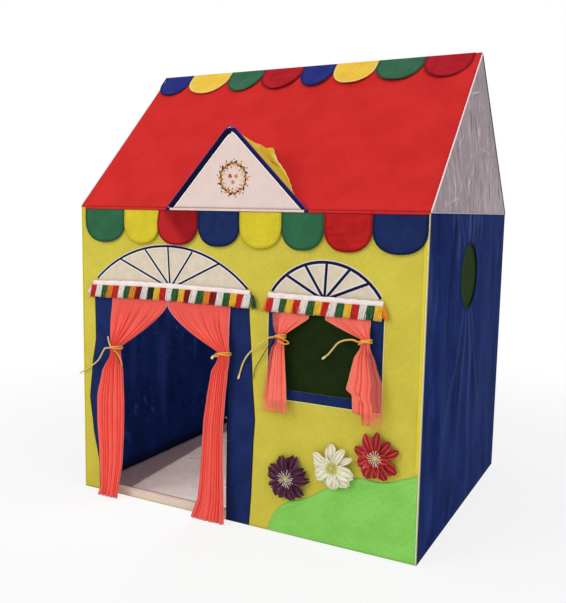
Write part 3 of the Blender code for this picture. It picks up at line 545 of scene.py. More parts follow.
def clothGrid(columns, rows, place, flat=None, hem=None, fold=None):
    # a grid of cloth: place(across, down) puts each corner, flat is its cut size in metres,
    # hem(across, down) gives (run along the edge, distance from the edge) for its stitching and
    # fold(across, down) how much painted highlight pales it, or that and how much painted shade darkens
    # it
    shape = bmesh.new()
    bmesh.ops.create_grid(shape, x_segments=columns, y_segments=rows, size=0.5)
    cloth = shape.loops.layers.uv.new("cloth")
    edge = shape.loops.layers.uv.new("hem") if hem else None
    crest = shape.loops.layers.uv.new("fold") if fold else None
    shares = {vert: (vert.co.x + 0.5, 0.5 - vert.co.y) for vert in shape.verts}
    for face in shape.faces:
        for loop in face.loops:
            across, down = shares[loop.vert]
            if flat:
                loop[cloth].uv = (across * flat[0], -down * flat[1])
            if hem:
                loop[edge].uv = hem(across, down)
            if fold:
                value = fold(across, down)
                loop[crest].uv = value if isinstance(value, tuple) else (value, 0)
    for vert, (across, down) in shares.items():
        vert.co = place(across, down)
    return shape


def fillCloth(shape, measure):  # the cloth's own flat measures as its uv
    cloth = shape.loops.layers.uv["cloth"]
    for face in shape.faces:
        for loop in face.loops:
            loop[cloth].uv = measure(loop.vert.co)


def asSeen(spot):  # the measures of a cloth that hangs upright, facing front
    return spot.x, spot.z


def ball(radius, detail):
    shape = bmesh.new()
    shape.loops.layers.uv.new("cloth")
    bmesh.ops.create_icosphere(shape, subdivisions=detail, radius=radius)
    return shape


def finishPiece(shape, name, materials, slot, body="tent", thick=0.0, offset=-1, replaces=()):
    mesh = bpy.data.meshes.new(name)
    shape.to_mesh(mesh)
    shape.free()
    mesh.shade_smooth()
    for material in materials if isinstance(materials, (list, tuple)) else (materials,):
        mesh.materials.append(material)
    piece = bpy.data.objects.new(name, mesh)
    bpy.context.scene.collection.objects.link(piece)
    if thick:
        shell = piece.modifiers.new("clothThickness", "SOLIDIFY")
        shell.thickness = thick
        shell.offset = offset
    if body:
        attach(piece, body)
    if replaces:
        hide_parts(*replaces)
    return piece


def pathFrames(path, facing=None, closed=False):
    # the across and lift directions at each point: lift towards facing, or steady along a tube
    count = len(path)
    frames, lift = [], None
    for k in range(count):
        if closed:
            ahead = path[(k + 1) % count] - path[k - 1]
        else:
            ahead = path[min(k + 1, count - 1)] - path[max(k - 1, 0)]
        ahead.normalize()
        if facing is not None:
            lift = Vector(facing(k) if callable(facing) else facing)
        elif lift is None:
            lift = Vector((0, 0, 1)) if abs(ahead.z) < 0.8 else Vector((0, -1, 0))
        across = ahead.cross(lift).normalized()
        lift = across.cross(ahead).normalized()
        frames.append((across, lift.copy()))
    return frames


def sweepAlong(path, section, facing=None, closed=False, taper=None):
    # a grid rolled round a path: section gives its (across, lift) points
    path = [Vector(point) for point in path]
    frames = pathFrames(path, facing, closed)
    count, sides = len(path), len(section)
    last = count if closed else count - 1
    runs = [0.0]
    for k in range(1, last + 1):
        runs.append(runs[-1] + (path[k % count] - path[k - 1]).length)
    shape = bmesh.new()
    bmesh.ops.create_grid(shape, x_segments=last, y_segments=sides, size=0.5)
    cloth = shape.loops.layers.uv.new("cloth")
    spots = {}
    for vert in shape.verts:
        spots[vert] = round((vert.co.x + 0.5) * last), round((vert.co.y + 0.5) * sides)
    for face in shape.faces:
        for loop in face.loops:
            k, number = spots[loop.vert]
            loop[cloth].uv = (runs[k], number / sides)
    for vert, (k, number) in spots.items():
        across, lift = frames[k % count]
        x, y = section[number % sides]
        size = taper(k / last) if taper else 1.0
        vert.co = path[k % count] + across * x * size + lift * y * size
    bmesh.ops.remove_doubles(shape, verts=shape.verts, dist=1e-6)
    rims = [edge for edge in shape.edges if edge.is_boundary]
    if rims:
        bmesh.ops.holes_fill(shape, edges=rims, sides=0)
    bmesh.ops.recalc_face_normals(shape, faces=shape.faces)
    return shape


def flatSection(width, height):  # a soft strip of cloth, low and rounded at its edges
    half = width / 2
    return [(-half, 0), (-half * 0.92, height * 0.7), (-half * 0.6, height), (half * 0.6, height),
            (half * 0.92, height * 0.7), (half, 0), (half * 0.5, -height * 0.3),
            (-half * 0.5, -height * 0.3)]


def roundSection(radius, sides=8):
    return [(radius * math.cos(2 * math.pi * k / sides), radius * math.sin(2 * math.pi * k / sides))
            for k in range(sides)]


def joinShapes(shapes):  # one bmesh from several
    whole = bmesh.new()
    spare = bpy.data.meshes.new("joining")
    for shape in shapes:
        shape.to_mesh(spare)
        shape.free()
        whole.from_mesh(spare)
    bpy.data.meshes.remove(spare)
    return whole


def smoothRoute(points, spacing):  # a smooth line through given points
    points = [Vector(point) for point in points]
    path = []
    for k in range(len(points) - 1):
        before, start = points[max(k - 1, 0)], points[k]
        end, after = points[k + 1], points[min(k + 2, len(points) - 1)]
        steps = max(1, round((end - start).length / spacing))
        for step in range(steps):
            s = step / steps
            bendIn = (end - before) / 2 - (end - start)
            bendOut = (after - start) / 2 - (end - start)
            path.append(start + (end - start) * s + bendIn * s * (1 - s) ** 2 - bendOut * s * s * (1 - s))
    return path + [points[-1]]


def routeLength(points):
    return sum((after - before).length for before, after in zip(points, points[1:]))


# The cords that tie the curtains: once round the gathered cloth, then a free end

cords = {
    "thick": 0.005,
    "slack": 0.0012,
    "pitch": 0.006,
    "startAngle": -120,
    "endAngle": 185,
    "turns": 20,
}

waists = {
    "door_curtain_left": {
        "x": -0.4435, "y": -0.5028, "tie": 0.5095, "width": 0.042, "depth": 0.022,
        "cord": "door_tie_left",
        "end": [(-0.4716, -0.5080, 0.5075), (-0.4840, -0.5080, 0.5060), (-0.5010, -0.5040, 0.4870),
                (-0.5200, -0.4990, 0.4625), (-0.5500, -0.4940, 0.4400), (-0.5830, -0.4910, 0.4200),
                (-0.6100, -0.4905, 0.4040)],
    },
    "door_curtain_right": {
        "x": -0.0230, "y": -0.5028, "tie": 0.5325, "width": 0.042, "depth": 0.022,
        "cord": "door_tie_right",
        "end": [(-0.0500, -0.5090, 0.5290), (-0.0538, -0.5122, 0.5266), (-0.0562, -0.5135, 0.5213)],
    },
    "window_curtain_left": {
        "x": 0.1690, "y": -0.4998, "tie": 0.6045, "width": 0.028, "depth": 0.016,
        "cord": "window_tie_left",
        "end": [(0.1470, -0.5040, 0.6026), (0.1330, -0.5020, 0.5990), (0.1120, -0.4970, 0.5850),
                (0.0800, -0.4930, 0.5620), (0.0550, -0.4900, 0.5370), (0.0393, -0.4885, 0.5130),
                (0.0292, -0.4880, 0.4850), (0.0234, -0.4880, 0.4660)],
    },
    "window_curtain_right": {
        "x": 0.4350, "y": -0.4998, "tie": 0.6150, "width": 0.028, "depth": 0.016,
        "cord": "window_tie_right",
        "end": [(0.4130, -0.5040, 0.6148), (0.3970, -0.5020, 0.6185), (0.3740, -0.4970, 0.6145),
                (0.3508, -0.4930, 0.6040), (0.3342, -0.4900, 0.5850), (0.3191, -0.4885, 0.5670),
                (0.3060, -0.4880, 0.5560)],
    },
}


def aroundWaist(waist, angle, height, extra=0.0):
    reach = cords["thick"] / 2 + cords["slack"] + extra
    across, deep = waist["width"] / 2 + reach, waist["depth"] / 2 + reach
    return Vector((waist["x"] + across * math.cos(angle), waist["y"] + deep * math.sin(angle), height))


def makeTies():
    for name, waist in waists.items():
        start, end = math.radians(cords["startAngle"]), math.radians(cords["endAngle"])
        points = []
        for k in range(cords["turns"] + 1):
            share = k / cords["turns"]
            height = waist["tie"] + cords["pitch"] * (0.5 - share)
            points.append(aroundWaist(waist, mix(start, end, share), height))
        points += smoothRoute([points[-1], *waist["end"]], 2 * cords["thick"])[1:]
        shape = sweepAlong(points, roundSection(cords["thick"] / 2, 10))
        cord = finishPiece(shape, waist["cord"] + "_cord", tieFading, "tie_cord",
                           replaces=(waist["cord"],))
        extras = tieExtras(name, waist)
        tuple(points[0])
        routeLength(points)
        [tuple(point) for point in points]


shortEnds = {  # finish, radius and route of each; the dark brown strands are painted shadows of the cords on the cloth behind them
    "door_curtain_left": [
        (tiePale, 0.0022, [(-0.4520, -0.5155, 0.5120), (-0.4590, -0.5175, 0.5280),
                           (-0.4650, -0.5165, 0.5490)]),
        (tieYellow, 0.0020, [(-0.4400, -0.5170, 0.5060), (-0.4235, -0.5165, 0.4930),
                             (-0.4140, -0.5130, 0.4730), (-0.4115, -0.5090, 0.4530)]),
        (cordShadow, 0.0014, [(-0.4380, -0.5160, 0.5020), (-0.4275, -0.5165, 0.4860),
                           (-0.4180, -0.5120, 0.4600)]),
    ],
    "door_curtain_right": [
        (tieYellow, 0.0020, [(-0.0300, -0.5165, 0.5300), (-0.0420, -0.5160, 0.5270),
                             (-0.0530, -0.5135, 0.5240)]),
    ],
    "window_curtain_left": [
        (cordShadow, 0.0013, [(0.1500, -0.5080, 0.6000), (0.1380, -0.5010, 0.5850),
                           (0.1210, -0.4930, 0.5620), (0.0990, -0.4890, 0.5290),
                           (0.0800, -0.4885, 0.4950), (0.0760, -0.4880, 0.4640)]),
        (tieYellow, 0.0019, [(0.1600, -0.5105, 0.6060), (0.1780, -0.5120, 0.6050),
                             (0.1990, -0.5110, 0.5960), (0.2030, -0.5110, 0.5900),
                             (0.1890, -0.5125, 0.5880), (0.1680, -0.5115, 0.5950)]),
    ],
    "window_curtain_right": [
        (tieYellow, 0.0019, [(0.4180, -0.5100, 0.6080), (0.4350, -0.5125, 0.6170),
                             (0.4520, -0.5080, 0.6220)]),
    ],
}


def tieExtras(name, waist):  # the further turns round the cloth, short ends with dark strands as painted shadows of the cords, and a knob on the free end
    ring = []
    for k in range(36):
        angle = 2 * math.pi * k / 36
        height = waist["tie"] + 0.0030 + 0.0056 * math.cos(angle + 0.7)
        ring.append(aroundWaist(waist, angle, height, 0.0006))
    wraps = sweepAlong(ring, roundSection(cords["thick"] * 0.42, 8), (0, 0, 1), closed=True)
    extras = [finishPiece(wraps, waist["cord"] + "_wraps", tieYellow, "tie_cord")]
    for number, (finish, radius, points) in enumerate(shortEnds[name]):
        strand = sweepAlong(smoothRoute(points, 0.004), roundSection(radius, 8),
                            taper=lambda s: 1.0 - 0.3 * ease(0.9, 1.0, s))
        extras.append(finishPiece(strand, f"{waist['cord']}_end_{number + 1}", finish, "tie_cord"))
    knob = ball(0.0044, 3)
    last, before = Vector(waist["end"][-1]), Vector(waist["end"][-2])
    run = (last - before).normalized()
    stretch, size = (0.35, 1.0) if name == "door_curtain_right" else (1.5, 0.78)
    for vert in knob.verts:
        vert.co += run * vert.co.dot(run) * stretch
        vert.co *= (1 + 0.10 * wander(vert.co.x * 2, vert.co.z * 2, 0.004, 9)) * size
        vert.co += last
    extras.append(finishPiece(knob, waist["cord"] + "_knob", tiePale, "tie_cord"))
    return extras


makeTies()
print("camera and ties placed")


# The sewn front: the yellow wall and what is stitched flat on it

front = {
    "doorLeft": -0.468, "doorRight": -0.020, "doorTop": 0.700, "strip": 0.024,
    "windowLeft": 0.160, "windowRight": 0.440, "sill": 0.445, "windowTop": 0.700,
    "face": -0.4846, "sag": 0.0040, "thick": 0.0008, "sewnLift": 0.0007,
}


def frontSag(x, z):  # how far the front hangs in between the tubes that hold it
    reach = tent["seamReach"]
    hold = (ease(0, reach, tent["side"] - abs(x)) * ease(0, reach, z)
            * ease(0, reach, tent["wallTop"] - z))
    hang = 0.55 + 0.45 * wander(x, z, 0.20, 1) + 0.22 * wander(x, z * 0.3, 0.055, 2)
    return hold * front["sag"] * max(0.0, hang)


def onFront(x, z, lift=0.0):
    return Vector((x, front["face"] + frontSag(x, z) - lift, z))


def cutOut(shape, low, high):  # cuts the grid along a rectangle's sides and takes its inside out
    for point, direction in (((low[0], 0, 0), (1, 0, 0)), ((high[0], 0, 0), (1, 0, 0)),
                             ((0, 0, low[1]), (0, 0, 1)), ((0, 0, high[1]), (0, 0, 1))):
        everything = shape.verts[:] + shape.edges[:] + shape.faces[:]
        bmesh.ops.bisect_plane(shape, geom=everything, plane_co=point, plane_no=direction, dist=1e-6)
    inside = [face for face in shape.faces
              if low[0] < face.calc_center_median().x < high[0]
              and low[1] < face.calc_center_median().z < high[1]]
    bmesh.ops.delete(shape, geom=inside, context="FACES")


doorway = (front["doorLeft"], front["strip"]), (front["doorRight"], front["doorTop"])
windowHole = (front["windowLeft"], front["sill"]), (front["windowRight"], front["windowTop"])


def frontSheet(columns, rows, low, high, holes, lift=0.0, hem=None):
    # cloth over a rectangle of the front, less its holes
    def point(across, down):
        return Vector((mix(low[0], high[0], across), 0, mix(high[1], low[1], down)))

    shape = clothGrid(columns, rows, point, flat=(high[0] - low[0], high[1] - low[1]), hem=hem)
    for hole in holes:
        cutOut(shape, *hole)
    for vert in shape.verts:
        vert.co = onFront(vert.co.x, vert.co.z, lift)
    return shape


def makeFrontWall():
    side, top = tent["side"], tent["wallTop"]
    shape = frontSheet(120, 98, (-side, 0), (side, top), (doorway, windowHole))
    wall = finishPiece(shape, "frontWallCloth", yellowCloth, "yellow_cloth", thick=front["thick"],
                       replaces=("front_wall",))
    holes = sum((high[0] - low[0]) * (high[1] - low[1]) for low, high in (doorway, windowHole))
    return wall, 2 * side * top - holes


def frontRibbon(points, width, height, lift=0.0):  # a strip that follows the front
    path = [onFront(x, z, lift) for x, z in points]
    return sweepAlong(path, flatSection(width, height), (0, -1, 0))


def spaced(points, spacing):  # points at even distances along straight runs
    made = [points[0]]
    for start, end in zip(points, points[1:]):
        steps = max(1, round(math.dist(start, end) / spacing))
        made += [(mix(start[0], end[0], k / steps), mix(start[1], end[1], k / steps))
                 for k in range(1, steps + 1)]
    return made


fanlights = {
    "door": {
        "middle": -0.243, "half": 0.290, "base": 0.722, "sides": 0.736, "top": 0.853, "arc": 0.0066,
        "spokes": [((-0.2537, 0.728), (-0.4343, 0.8041)), ((-0.2383, 0.728), (-0.3327, 0.8369)),
                   ((-0.2364, 0.728), (-0.2446, 0.8480)), ((-0.2301, 0.728), (-0.1534, 0.8367)),
                   ((-0.2170, 0.728), (-0.0538, 0.8068))],
        "thin": 0.0062, "reach": 1.02,
    },
    "window": {
        "middle": 0.3005, "half": 0.1685, "base": 0.722, "sides": 0.736, "top": 0.828, "arc": 0.0086,
        "spokes": [((0.2838, 0.728), (0.1905, 0.7787)), ((0.2952, 0.728), (0.2423, 0.8113)),
                   ((0.3004, 0.728), (0.3052, 0.8218)), ((0.3058, 0.728), (0.3717, 0.8059)),
                   ((0.3168, 0.728), (0.4209, 0.7705))],
        "thin": 0.0086, "reach": 1.10,
    },
}


def fanlightArc(light, share, inset=0.0):  # a point on the round top, from its left end to its right
    rise = light["top"] - light["sides"]
    radius = (light["half"] ** 2 + rise ** 2) / (2 * rise)
    swing = math.asin(light["half"] / radius)
    angle = mix(-swing, swing, share)
    middle = light["top"] - radius
    return (light["middle"] + (radius - inset) * math.sin(angle),
            middle + (radius - inset) * math.cos(angle))


def makeFanlight(name, light):
    lift = front["sewnLift"]

    def panel(across, down):
        x, z = fanlightArc(light, across, 0.004)
        return onFront(x, mix(z, light["base"] - 0.012, down), lift)

    cream = clothGrid(56, 14, panel, flat=(2 * light["half"], light["top"] - light["base"]))
    pieces = [finishPiece(cream, name + "Panel", woven["creamCloth"], "white_cloth", thick=0.0005)]
    arc = [fanlightArc(light, k / 64) for k in range(65)]
    inner = [fanlightArc(light, k / 64, light["arc"] / 2 + 0.0026) for k in range(65)]
    outer = [fanlightArc(light, k / 64, -light["arc"] / 2 - 0.0014) for k in range(65)]
    whites = [frontRibbon(inner, 0.0054, 0.0009, lift), frontRibbon(outer, 0.0030, 0.0009, 0.0)]
    navies = [frontRibbon(arc, light["arc"], 0.0016, lift)]
    for start, end in light["spokes"]:
        end = (mix(start[0], end[0], light["reach"]), mix(start[1], end[1], light["reach"]))
        run = spaced([start, end], 0.008)
        lean = Vector((end[1] - start[1], start[0] - end[0])).normalized()
        lean *= light["thin"] / 2 + 0.0024
        whites.append(frontRibbon([(x - lean.x, z - lean.y) for x, z in run], 0.0052, 0.0008, lift))
        lean *= 0.8
        whites.append(frontRibbon([(x + lean.x, z + lean.y) for x, z in run], 0.0034, 0.0008, lift))
        navies.append(frontRibbon(run, light["thin"], 0.0017, lift))
    pieces.append(finishPiece(joinShapes(whites), name + "Edging", woven["whiteCloth"], "white_cloth"))
    pieces.append(finishPiece(joinShapes(navies), name + "Spokes", woven["bindingCloth"], "navy_cloth"))
    return pieces


bands = {
    "door": {"left": -0.548, "right": 0.060,
             "low": [(-0.55, 0.7125), (-0.25, 0.7195), (0.065, 0.7185)],
             "high": [(-0.55, 0.7285), (-0.38, 0.7345), (-0.22, 0.7360), (0.065, 0.7330)]},
    "window": {"left": 0.122, "right": 0.480,
               "low": [(0.12, 0.7145), (0.48, 0.7150)],
               "high": [(0.12, 0.7325), (0.30, 0.7310), (0.48, 0.7300)]},
}


def makeBand(name, band):  # the folded white strip that the tassels hang from
    def point(across, down):
        x = mix(band["left"], band["right"], across)
        ragged = 0.0016 * wander(x, 0, 0.014, 3)
        angle = math.pi * (1.0 - down * 1.02)
        high, low = along(band["high"], x) + ragged, along(band["low"], x) + 0.6 * ragged
        z = mix(high, low, 0.5 + 0.5 * math.cos(angle))
        puff = 0.0062 * math.sin(min(math.pi, math.pi * (0.12 + 0.80 * down))) ** 0.55
        tuck = 0.0007 * wander(x, z, 0.007, 4)
        return Vector((x, front["face"] - 0.0005 - puff - tuck, z))

    shape = clothGrid(150, 10, point, flat=(band["right"] - band["left"], 0.03))
    return finishPiece(shape, name + "Band", woven["bandCloth"], "white_cloth", thick=0.0006)


stripCut = {"wide": 0.08, "top": 0.708, "foot": 0.0005}
doorStrips = {
    "left": {
        "outer": [(0.0, -0.536), (0.017, -0.536), (0.095, -0.538), (0.21, -0.562), (0.325, -0.575),
                  (0.44, -0.562), (0.531, -0.546), (0.672, -0.547), (0.708, -0.547)],
        "inner": [(0.0, -0.466), (0.708, -0.466)],
    },
    "right": {
        "outer": [(0.0, 0.064), (0.124, 0.071), (0.256, 0.075), (0.335, 0.080), (0.462, 0.070),
                  (0.674, 0.055), (0.708, 0.054)],
        "inner": [(0.0, -0.021), (0.708, -0.020)],
    },
}


def makeDoorStrip(name, strip):
    lift = front["sewnLift"]

    def point(across, down):
        z = mix(stripCut["top"], stripCut["foot"], down)
        x = mix(*sorted((along(strip["outer"], z), along(strip["inner"], z))), across)
        crumple = 0.0006 * wander(x, z, 0.03, 5) * math.sin(math.pi * across)
        return onFront(x, z, lift + max(0.0, crumple))

    def hem(across, down):
        return down * stripCut["top"], min(across, 1 - across) * stripCut["wide"]

    shape = clothGrid(14, 100, point, flat=(stripCut["wide"], stripCut["top"]), hem=hem)
    return finishPiece(shape, name, stripNavy, "navy_cloth", thick=0.0005)


border = {"left": 0.120, "right": 0.483, "low": 0.4135, "high": 0.706}


def makeWindowBorder():
    low, high = (border["left"], border["low"]), (border["right"], border["high"])
    wide, tall = high[0] - low[0], high[1] - low[1]

    def hem(across, down):
        return (across * wide + down * tall,
                min(across * wide, (1 - across) * wide, (1 - down) * tall))

    shape = frontSheet(40, 32, low, high, (windowHole,), front["sewnLift"], hem)
    edge = spaced([(low[0], high[1]), low, (high[0], low[1]), high], 0.01)
    pale = frontRibbon(edge, 0.0035, 0.0012, front["sewnLift"])
    return [finishPiece(shape, "windowBorder", stripNavy, "navy_cloth", thick=0.0005),
            finishPiece(pale, "windowBorderPiping", woven["sillPiping"], "yellow_cloth")]


hill = {
    "edge": [(0.127, 0.001), (0.133, 0.020), (0.140, 0.039), (0.150, 0.060), (0.166, 0.080),
             (0.182, 0.094), (0.200, 0.104), (0.230, 0.116), (0.259, 0.128), (0.283, 0.143),
             (0.308, 0.161), (0.340, 0.181), (0.370, 0.199), (0.395, 0.212), (0.429, 0.221),
             (0.457, 0.2185), (0.486, 0.218), (0.505, 0.222), (0.524, 0.228), (0.560, 0.243),
             (0.5975, 0.259)],
}


def makeHill():
    left, right = hill["edge"][0][0], hill["edge"][-1][0]

    def crown(across):
        x = mix(left, right, across ** 1.35)
        return x, along(hill["edge"], x)

    def point(across, down):
        x, top = crown(across)
        return onFront(x, mix(top, 0.0008, down), front["sewnLift"])

    def hem(across, down):
        x, top = crown(across)
        return x * 1.25, min(down * top * 0.9, (1 - down) * top + 0.005)

    shape = clothGrid(70, 26, point, flat=(right - left, 0.25), hem=hem)
    return finishPiece(shape, "greenHill", hillCloth, "green_felt", thick=0.0005)


# The cream and navy sleeves round the base rails
sleeves = {"height": 0.0162, "radius": 0.0110, "front": 0.4692, "side": 0.5842}

uprights = {  # x, foot, width, height, cloth and slot
    "cornerPiping": (0.5905, 0.256, 0.0095, 0.0014, "yellowPiping", "yellow_cloth"),
    "cornerLine": (0.5967, 0.001, 0.0028, 0.0016, "whiteCloth", "white_cloth"),
    "leftPiping": (-0.5975, 0.001, 0.0040, 0.0014, "yellowPiping", "yellow_cloth"),
}


def straight(start, end, steps):
    return [Vector(start).lerp(Vector(end), k / steps) for k in range(steps + 1)]


def makeFrontTrim():  # piping and a white line down the edges, and what closes the foot
    pieces = []
    for name, (x, foot, width, height, cloth, slot) in uprights.items():
        line = spaced([(x, tent["wallTop"] - 0.001), (x, foot)], 0.012)
        pieces.append(finishPiece(frontRibbon(line, width, height), name, woven[cloth], slot))
    foot = spaced([(front["doorLeft"], 0.0145), (front["doorRight"], 0.0145)], 0.012)
    strip = frontRibbon(foot, 0.026, 0.0016)
    pieces.append(finishPiece(strip, "doorThreshold", woven["sleeveCream"], "white_cloth"))
    rail = straight((-0.562, -sleeves["front"], sleeves["height"]),
                    (0.562, -sleeves["front"], sleeves["height"]), 80)
    sleeve = sweepAlong(rail, roundSection(sleeves["radius"], 16), (0, 0, 1))
    pieces.append(finishPiece(sleeve, "frontSleeve", woven["sleeveCream"], "white_cloth"))
    seam = straight((-0.466, -0.4700, 0.0274), (-0.022, -0.4700, 0.0274), 40)
    seam = sweepAlong(seam, flatSection(0.0030, 0.0006), (0, 0, 1))
    pieces.append(finishPiece(seam, "thresholdSeam", woven["hemBrown"], "navy_cloth"))
    return pieces


frontWall, frontArea = makeFrontWall()
sewnOn = []
for name, light in fanlights.items():
    sewnOn += makeFanlight(name + "Fanlight", light)
sewnOn += [makeBand(name, band) for name, band in bands.items()]
sewnOn += [makeDoorStrip(name + "DoorStrip", strip) for name, strip in doorStrips.items()]
sewnOn += makeWindowBorder()
sewnOn.append(makeHill())
sewnOn += makeFrontTrim()
print("front sewn:", len(sewnOn), "pieces on it")


# The other walls

roundWindow = {"y": -0.035, "z": 0.776, "radius": 0.105, "overlap": 0.010, "netPlane": 0.5965}
# (angle, width, height) of the folds that start at the round window; the last two are level
foldsFromRound = [(62, 0.020, 0.0030), (78, 0.014, 0.0038), (93, 0.016, 0.0032), (109, 0.015, 0.0036),
                  (127, 0.020, 0.0028), (-68, 0.024, 0.0030), (-84, 0.020, 0.0040), (-99, 0.026, 0.0032),
                  (-118, 0.030, 0.0026), (8, 0.030, 0.0022), (172, 0.030, 0.0022)]


def foldsHere(y, z, share, folds):
    # how high the window's folds stand here, and the distance from its rim
    awayY, awayZ = y - roundWindow["y"], z - roundWindow["z"]
    distance = math.hypot(awayY, awayZ)
    high = 0.0
    for angle, wide, tall in folds:
        turn = math.radians(angle)
        if awayY * math.cos(turn) + awayZ * math.sin(turn) > 0:
            off = awayZ * math.cos(turn) - awayY * math.sin(turn)
            high += tall * bell(off, share * wide * (0.5 + 1.6 * distance))
    return high, distance - roundWindow["radius"]


def sideSwell(y, z, seed, pulled):
    # the side walls hang in soft upright folds that only swell outwards
    hold = ease(0, 0.09, min(tent["back"] - abs(y), z, tent["wallTop"] - z))
    folds = 0.5 + 0.5 * math.sin(2 * math.pi * (y / 0.16 + 0.25) + 1.6 * wander(y, z, 0.45, seed))
    narrow = max(0.0, wander(y, z * 0.22, 0.060, seed + 1))
    narrow += 0.5 * max(0.0, wander(y, z * 0.35, 0.028, seed + 2))
    swell = hold * (0.0046 * folds * (0.45 + 0.55 * ease(0.1, 0.7, z)) + 0.0046 * narrow)
    if pulled:
        high, away = foldsHere(y, z, 1.0, foldsFromRound)
        away -= 0.012
        swell *= ease(0, 0.16, away)
        swell += hold * high * ease(-0.004, 0.035, away) * (1 - 0.55 * ease(0.10, 0.65, away))
    return swell


def sideCrest(y, z, seed, pulled):  # painted highlight where the light catches the folds, and painted shade in their valleys
    wide = ease(0.05, 0.60, wander(y, z * 0.20, 0.065, seed + 2))
    if not pulled:
        patch = ease(0.0, 0.5, wander(y, z, 0.13, seed + 5))
        flecks = ease(0.1, 0.5, wander(y + 0.6 * z, z * 0.7, 0.020, seed + 3))
        valley = ease(0.0, 0.5, wander(y, z * 0.3, 0.07, seed + 7))
        return 0.16 * wide + 0.45 * patch * flecks, 0.4 * valley
    fine = ease(0.10, 0.55, wander(y, z * 0.16, 0.030, seed + 1))
    fine *= ease(-0.2, 0.4, wander(y, z, 0.2, seed + 4))
    rays, away = foldsHere(y, z, 0.4, foldsFromRound[:-2])  # the level ones catch no light
    rays *= ease(0, 0.02, away) * (1 - 0.75 * ease(0.10, 0.50, away)) / 0.004
    upper = ease(tent["wallTop"] - 0.30, tent["wallTop"] - 0.02, z)
    high = 0.38 * rays + (0.14 + 0.30 * upper) * fine + 0.08 * wide + 0.06 * ease(-0.40, 0.10, y)
    deep = ease(0.15, 0.6, wander(y + 0.02, z * 0.14, 0.045, seed + 6))
    return min(1.0, high), 0.5 * deep * (1 - min(1.0, 2.0 * high))


sideHalf = 0.4827  # half a side wall's width, just short of the corners


def makeSideWall(name, node, side, seed, pulled):
    half, top = sideHalf, tent["wallTop"]

    def point(across, down):
        y = mix(-half, half, across) * side
        z = top * (1 - down)
        return Vector((side * (tent["side"] + sideSwell(y, z, seed, pulled)), y, z))

    def hem(across, down):
        return (1 - down) * top, min(across, 1 - across) * 2 * half

    def fold(across, down):
        return sideCrest(mix(-half, half, across) * side, top * (1 - down), seed, pulled)

    shape = clothGrid(150, 104, point, flat=(2 * half, top), hem=hem, fold=fold)
    area = 2 * half * top
    if pulled:  # the round window is cut, and the points left at its edge are set on its circle
        middle, radius = Vector((roundWindow["y"], roundWindow["z"])), roundWindow["radius"]
        inside = [vert for vert in shape.verts if (vert.co.yz - middle).length < radius]
        bmesh.ops.delete(shape, geom=inside, context="VERTS")
        for edge in shape.edges:
            for vert in edge.verts if edge.is_boundary else ():
                away = vert.co.yz - middle
                if 0 < away.length < radius + 0.03:
                    vert.co.yz = middle + away * (radius / away.length)
        area -= math.pi * radius ** 2
    finish = navyCloth if pulled else leftNavy
    wall = finishPiece(shape, name, finish, "navy_cloth", thick=0.0009, replaces=(node,))
    return wall, area


def makeBackWall():
    side, top = tent["side"], tent["wallTop"]

    def point(across, down):
        x, z = mix(side, -side, across), top * (1 - down)
        hold = ease(0, 0.09, min(side - abs(x), z, top - z))
        folds = 0.5 + 0.5 * math.sin(2 * math.pi * x / 0.17 + 1.4 * wander(x, z, 0.4, 11))
        narrow = max(0.0, wander(x, z * 0.25, 0.06, 12))
        return Vector((x, tent["back"] + hold * (0.0044 * folds + 0.0040 * narrow), z))

    shape = clothGrid(110, 90, point, flat=(2 * side, top))
    return finishPiece(shape, "backWallCloth", navyCloth, "navy_cloth", thick=0.0009,
                       replaces=("back_wall",))


rightWall, rightArea = makeSideWall("rightWallCloth", "right_wall", 1, 21, True)
leftWall, _ = makeSideWall("leftWallCloth", "left_wall", -1, 31, False)
backWall = makeBackWall()


def makeSleeve(name, start, end):  # the wall's foot, sewn round a base rail
    path = straight((*start, sleeves["height"]), (*end, sleeves["height"]), 60)
    for spot in path:
        spot.z += 0.0005 * wander(spot.x + spot.y, 0, 0.03, 19)
    shape = sweepAlong(path, roundSection(sleeves["radius"], 16), (0, 0, 1))
    for vert in shape.verts:
        vert.co.z += 0.0006 * wander(vert.co.x + vert.co.z, vert.co.y, 0.012, 20)
    return finishPiece(shape, name, woven["sleeveNavy"], "navy_cloth")


leftSleeve = makeSleeve("leftSleeve", (-sleeves["side"], -0.450), (-sleeves["side"], 0.450))
rightSleeve = makeSleeve("rightSleeve", (sleeves["side"], -0.450), (sleeves["side"], 0.450))
backSleeve = makeSleeve("backSleeve", (-0.565, sleeves["front"]), (0.565, sleeves["front"]))


def roundSpot(x, radius, angle):
    return Vector((x, roundWindow["y"] + radius * math.cos(angle),
                   roundWindow["z"] + radius * math.sin(angle)))


def makeRoundNet():
    def point(across, down):
        radius = (roundWindow["radius"] + roundWindow["overlap"]) * (1 - down)
        spot = roundSpot(roundWindow["netPlane"], radius, -2 * math.pi * across)
        inner = ease(0.0, 0.05, roundWindow["radius"] - radius)
        spot.x += 0.0010 * wander(spot.y, spot.z, 0.05, 14) * inner
        return spot

    shape = clothGrid(48, 14, point)
    fillCloth(shape, lambda spot: (spot.y, spot.z))
    bmesh.ops.remove_doubles(shape, verts=shape.verts, dist=1e-5)
    bmesh.ops.recalc_face_normals(shape, faces=shape.faces)
    net = finishPiece(shape, "roundNet", roundGreen, "green_net", thick=0.0005,
                      replaces=("round_window_net",))
    rim = [roundSpot(tent["trims"], roundWindow["radius"], 2 * math.pi * k / 48) for k in range(48)]
    ring = sweepAlong(rim, flatSection(0.006, 0.0012), (1, 0, 0), closed=True)
    return net, finishPiece(ring, "roundNetRim", woven["rimNavy"], "navy_cloth")


roundNet, roundRim = makeRoundNet()


netEdges = {"left": 0.140, "right": 0.460, "low": 0.426, "high": 0.720, "plane": -0.4822}


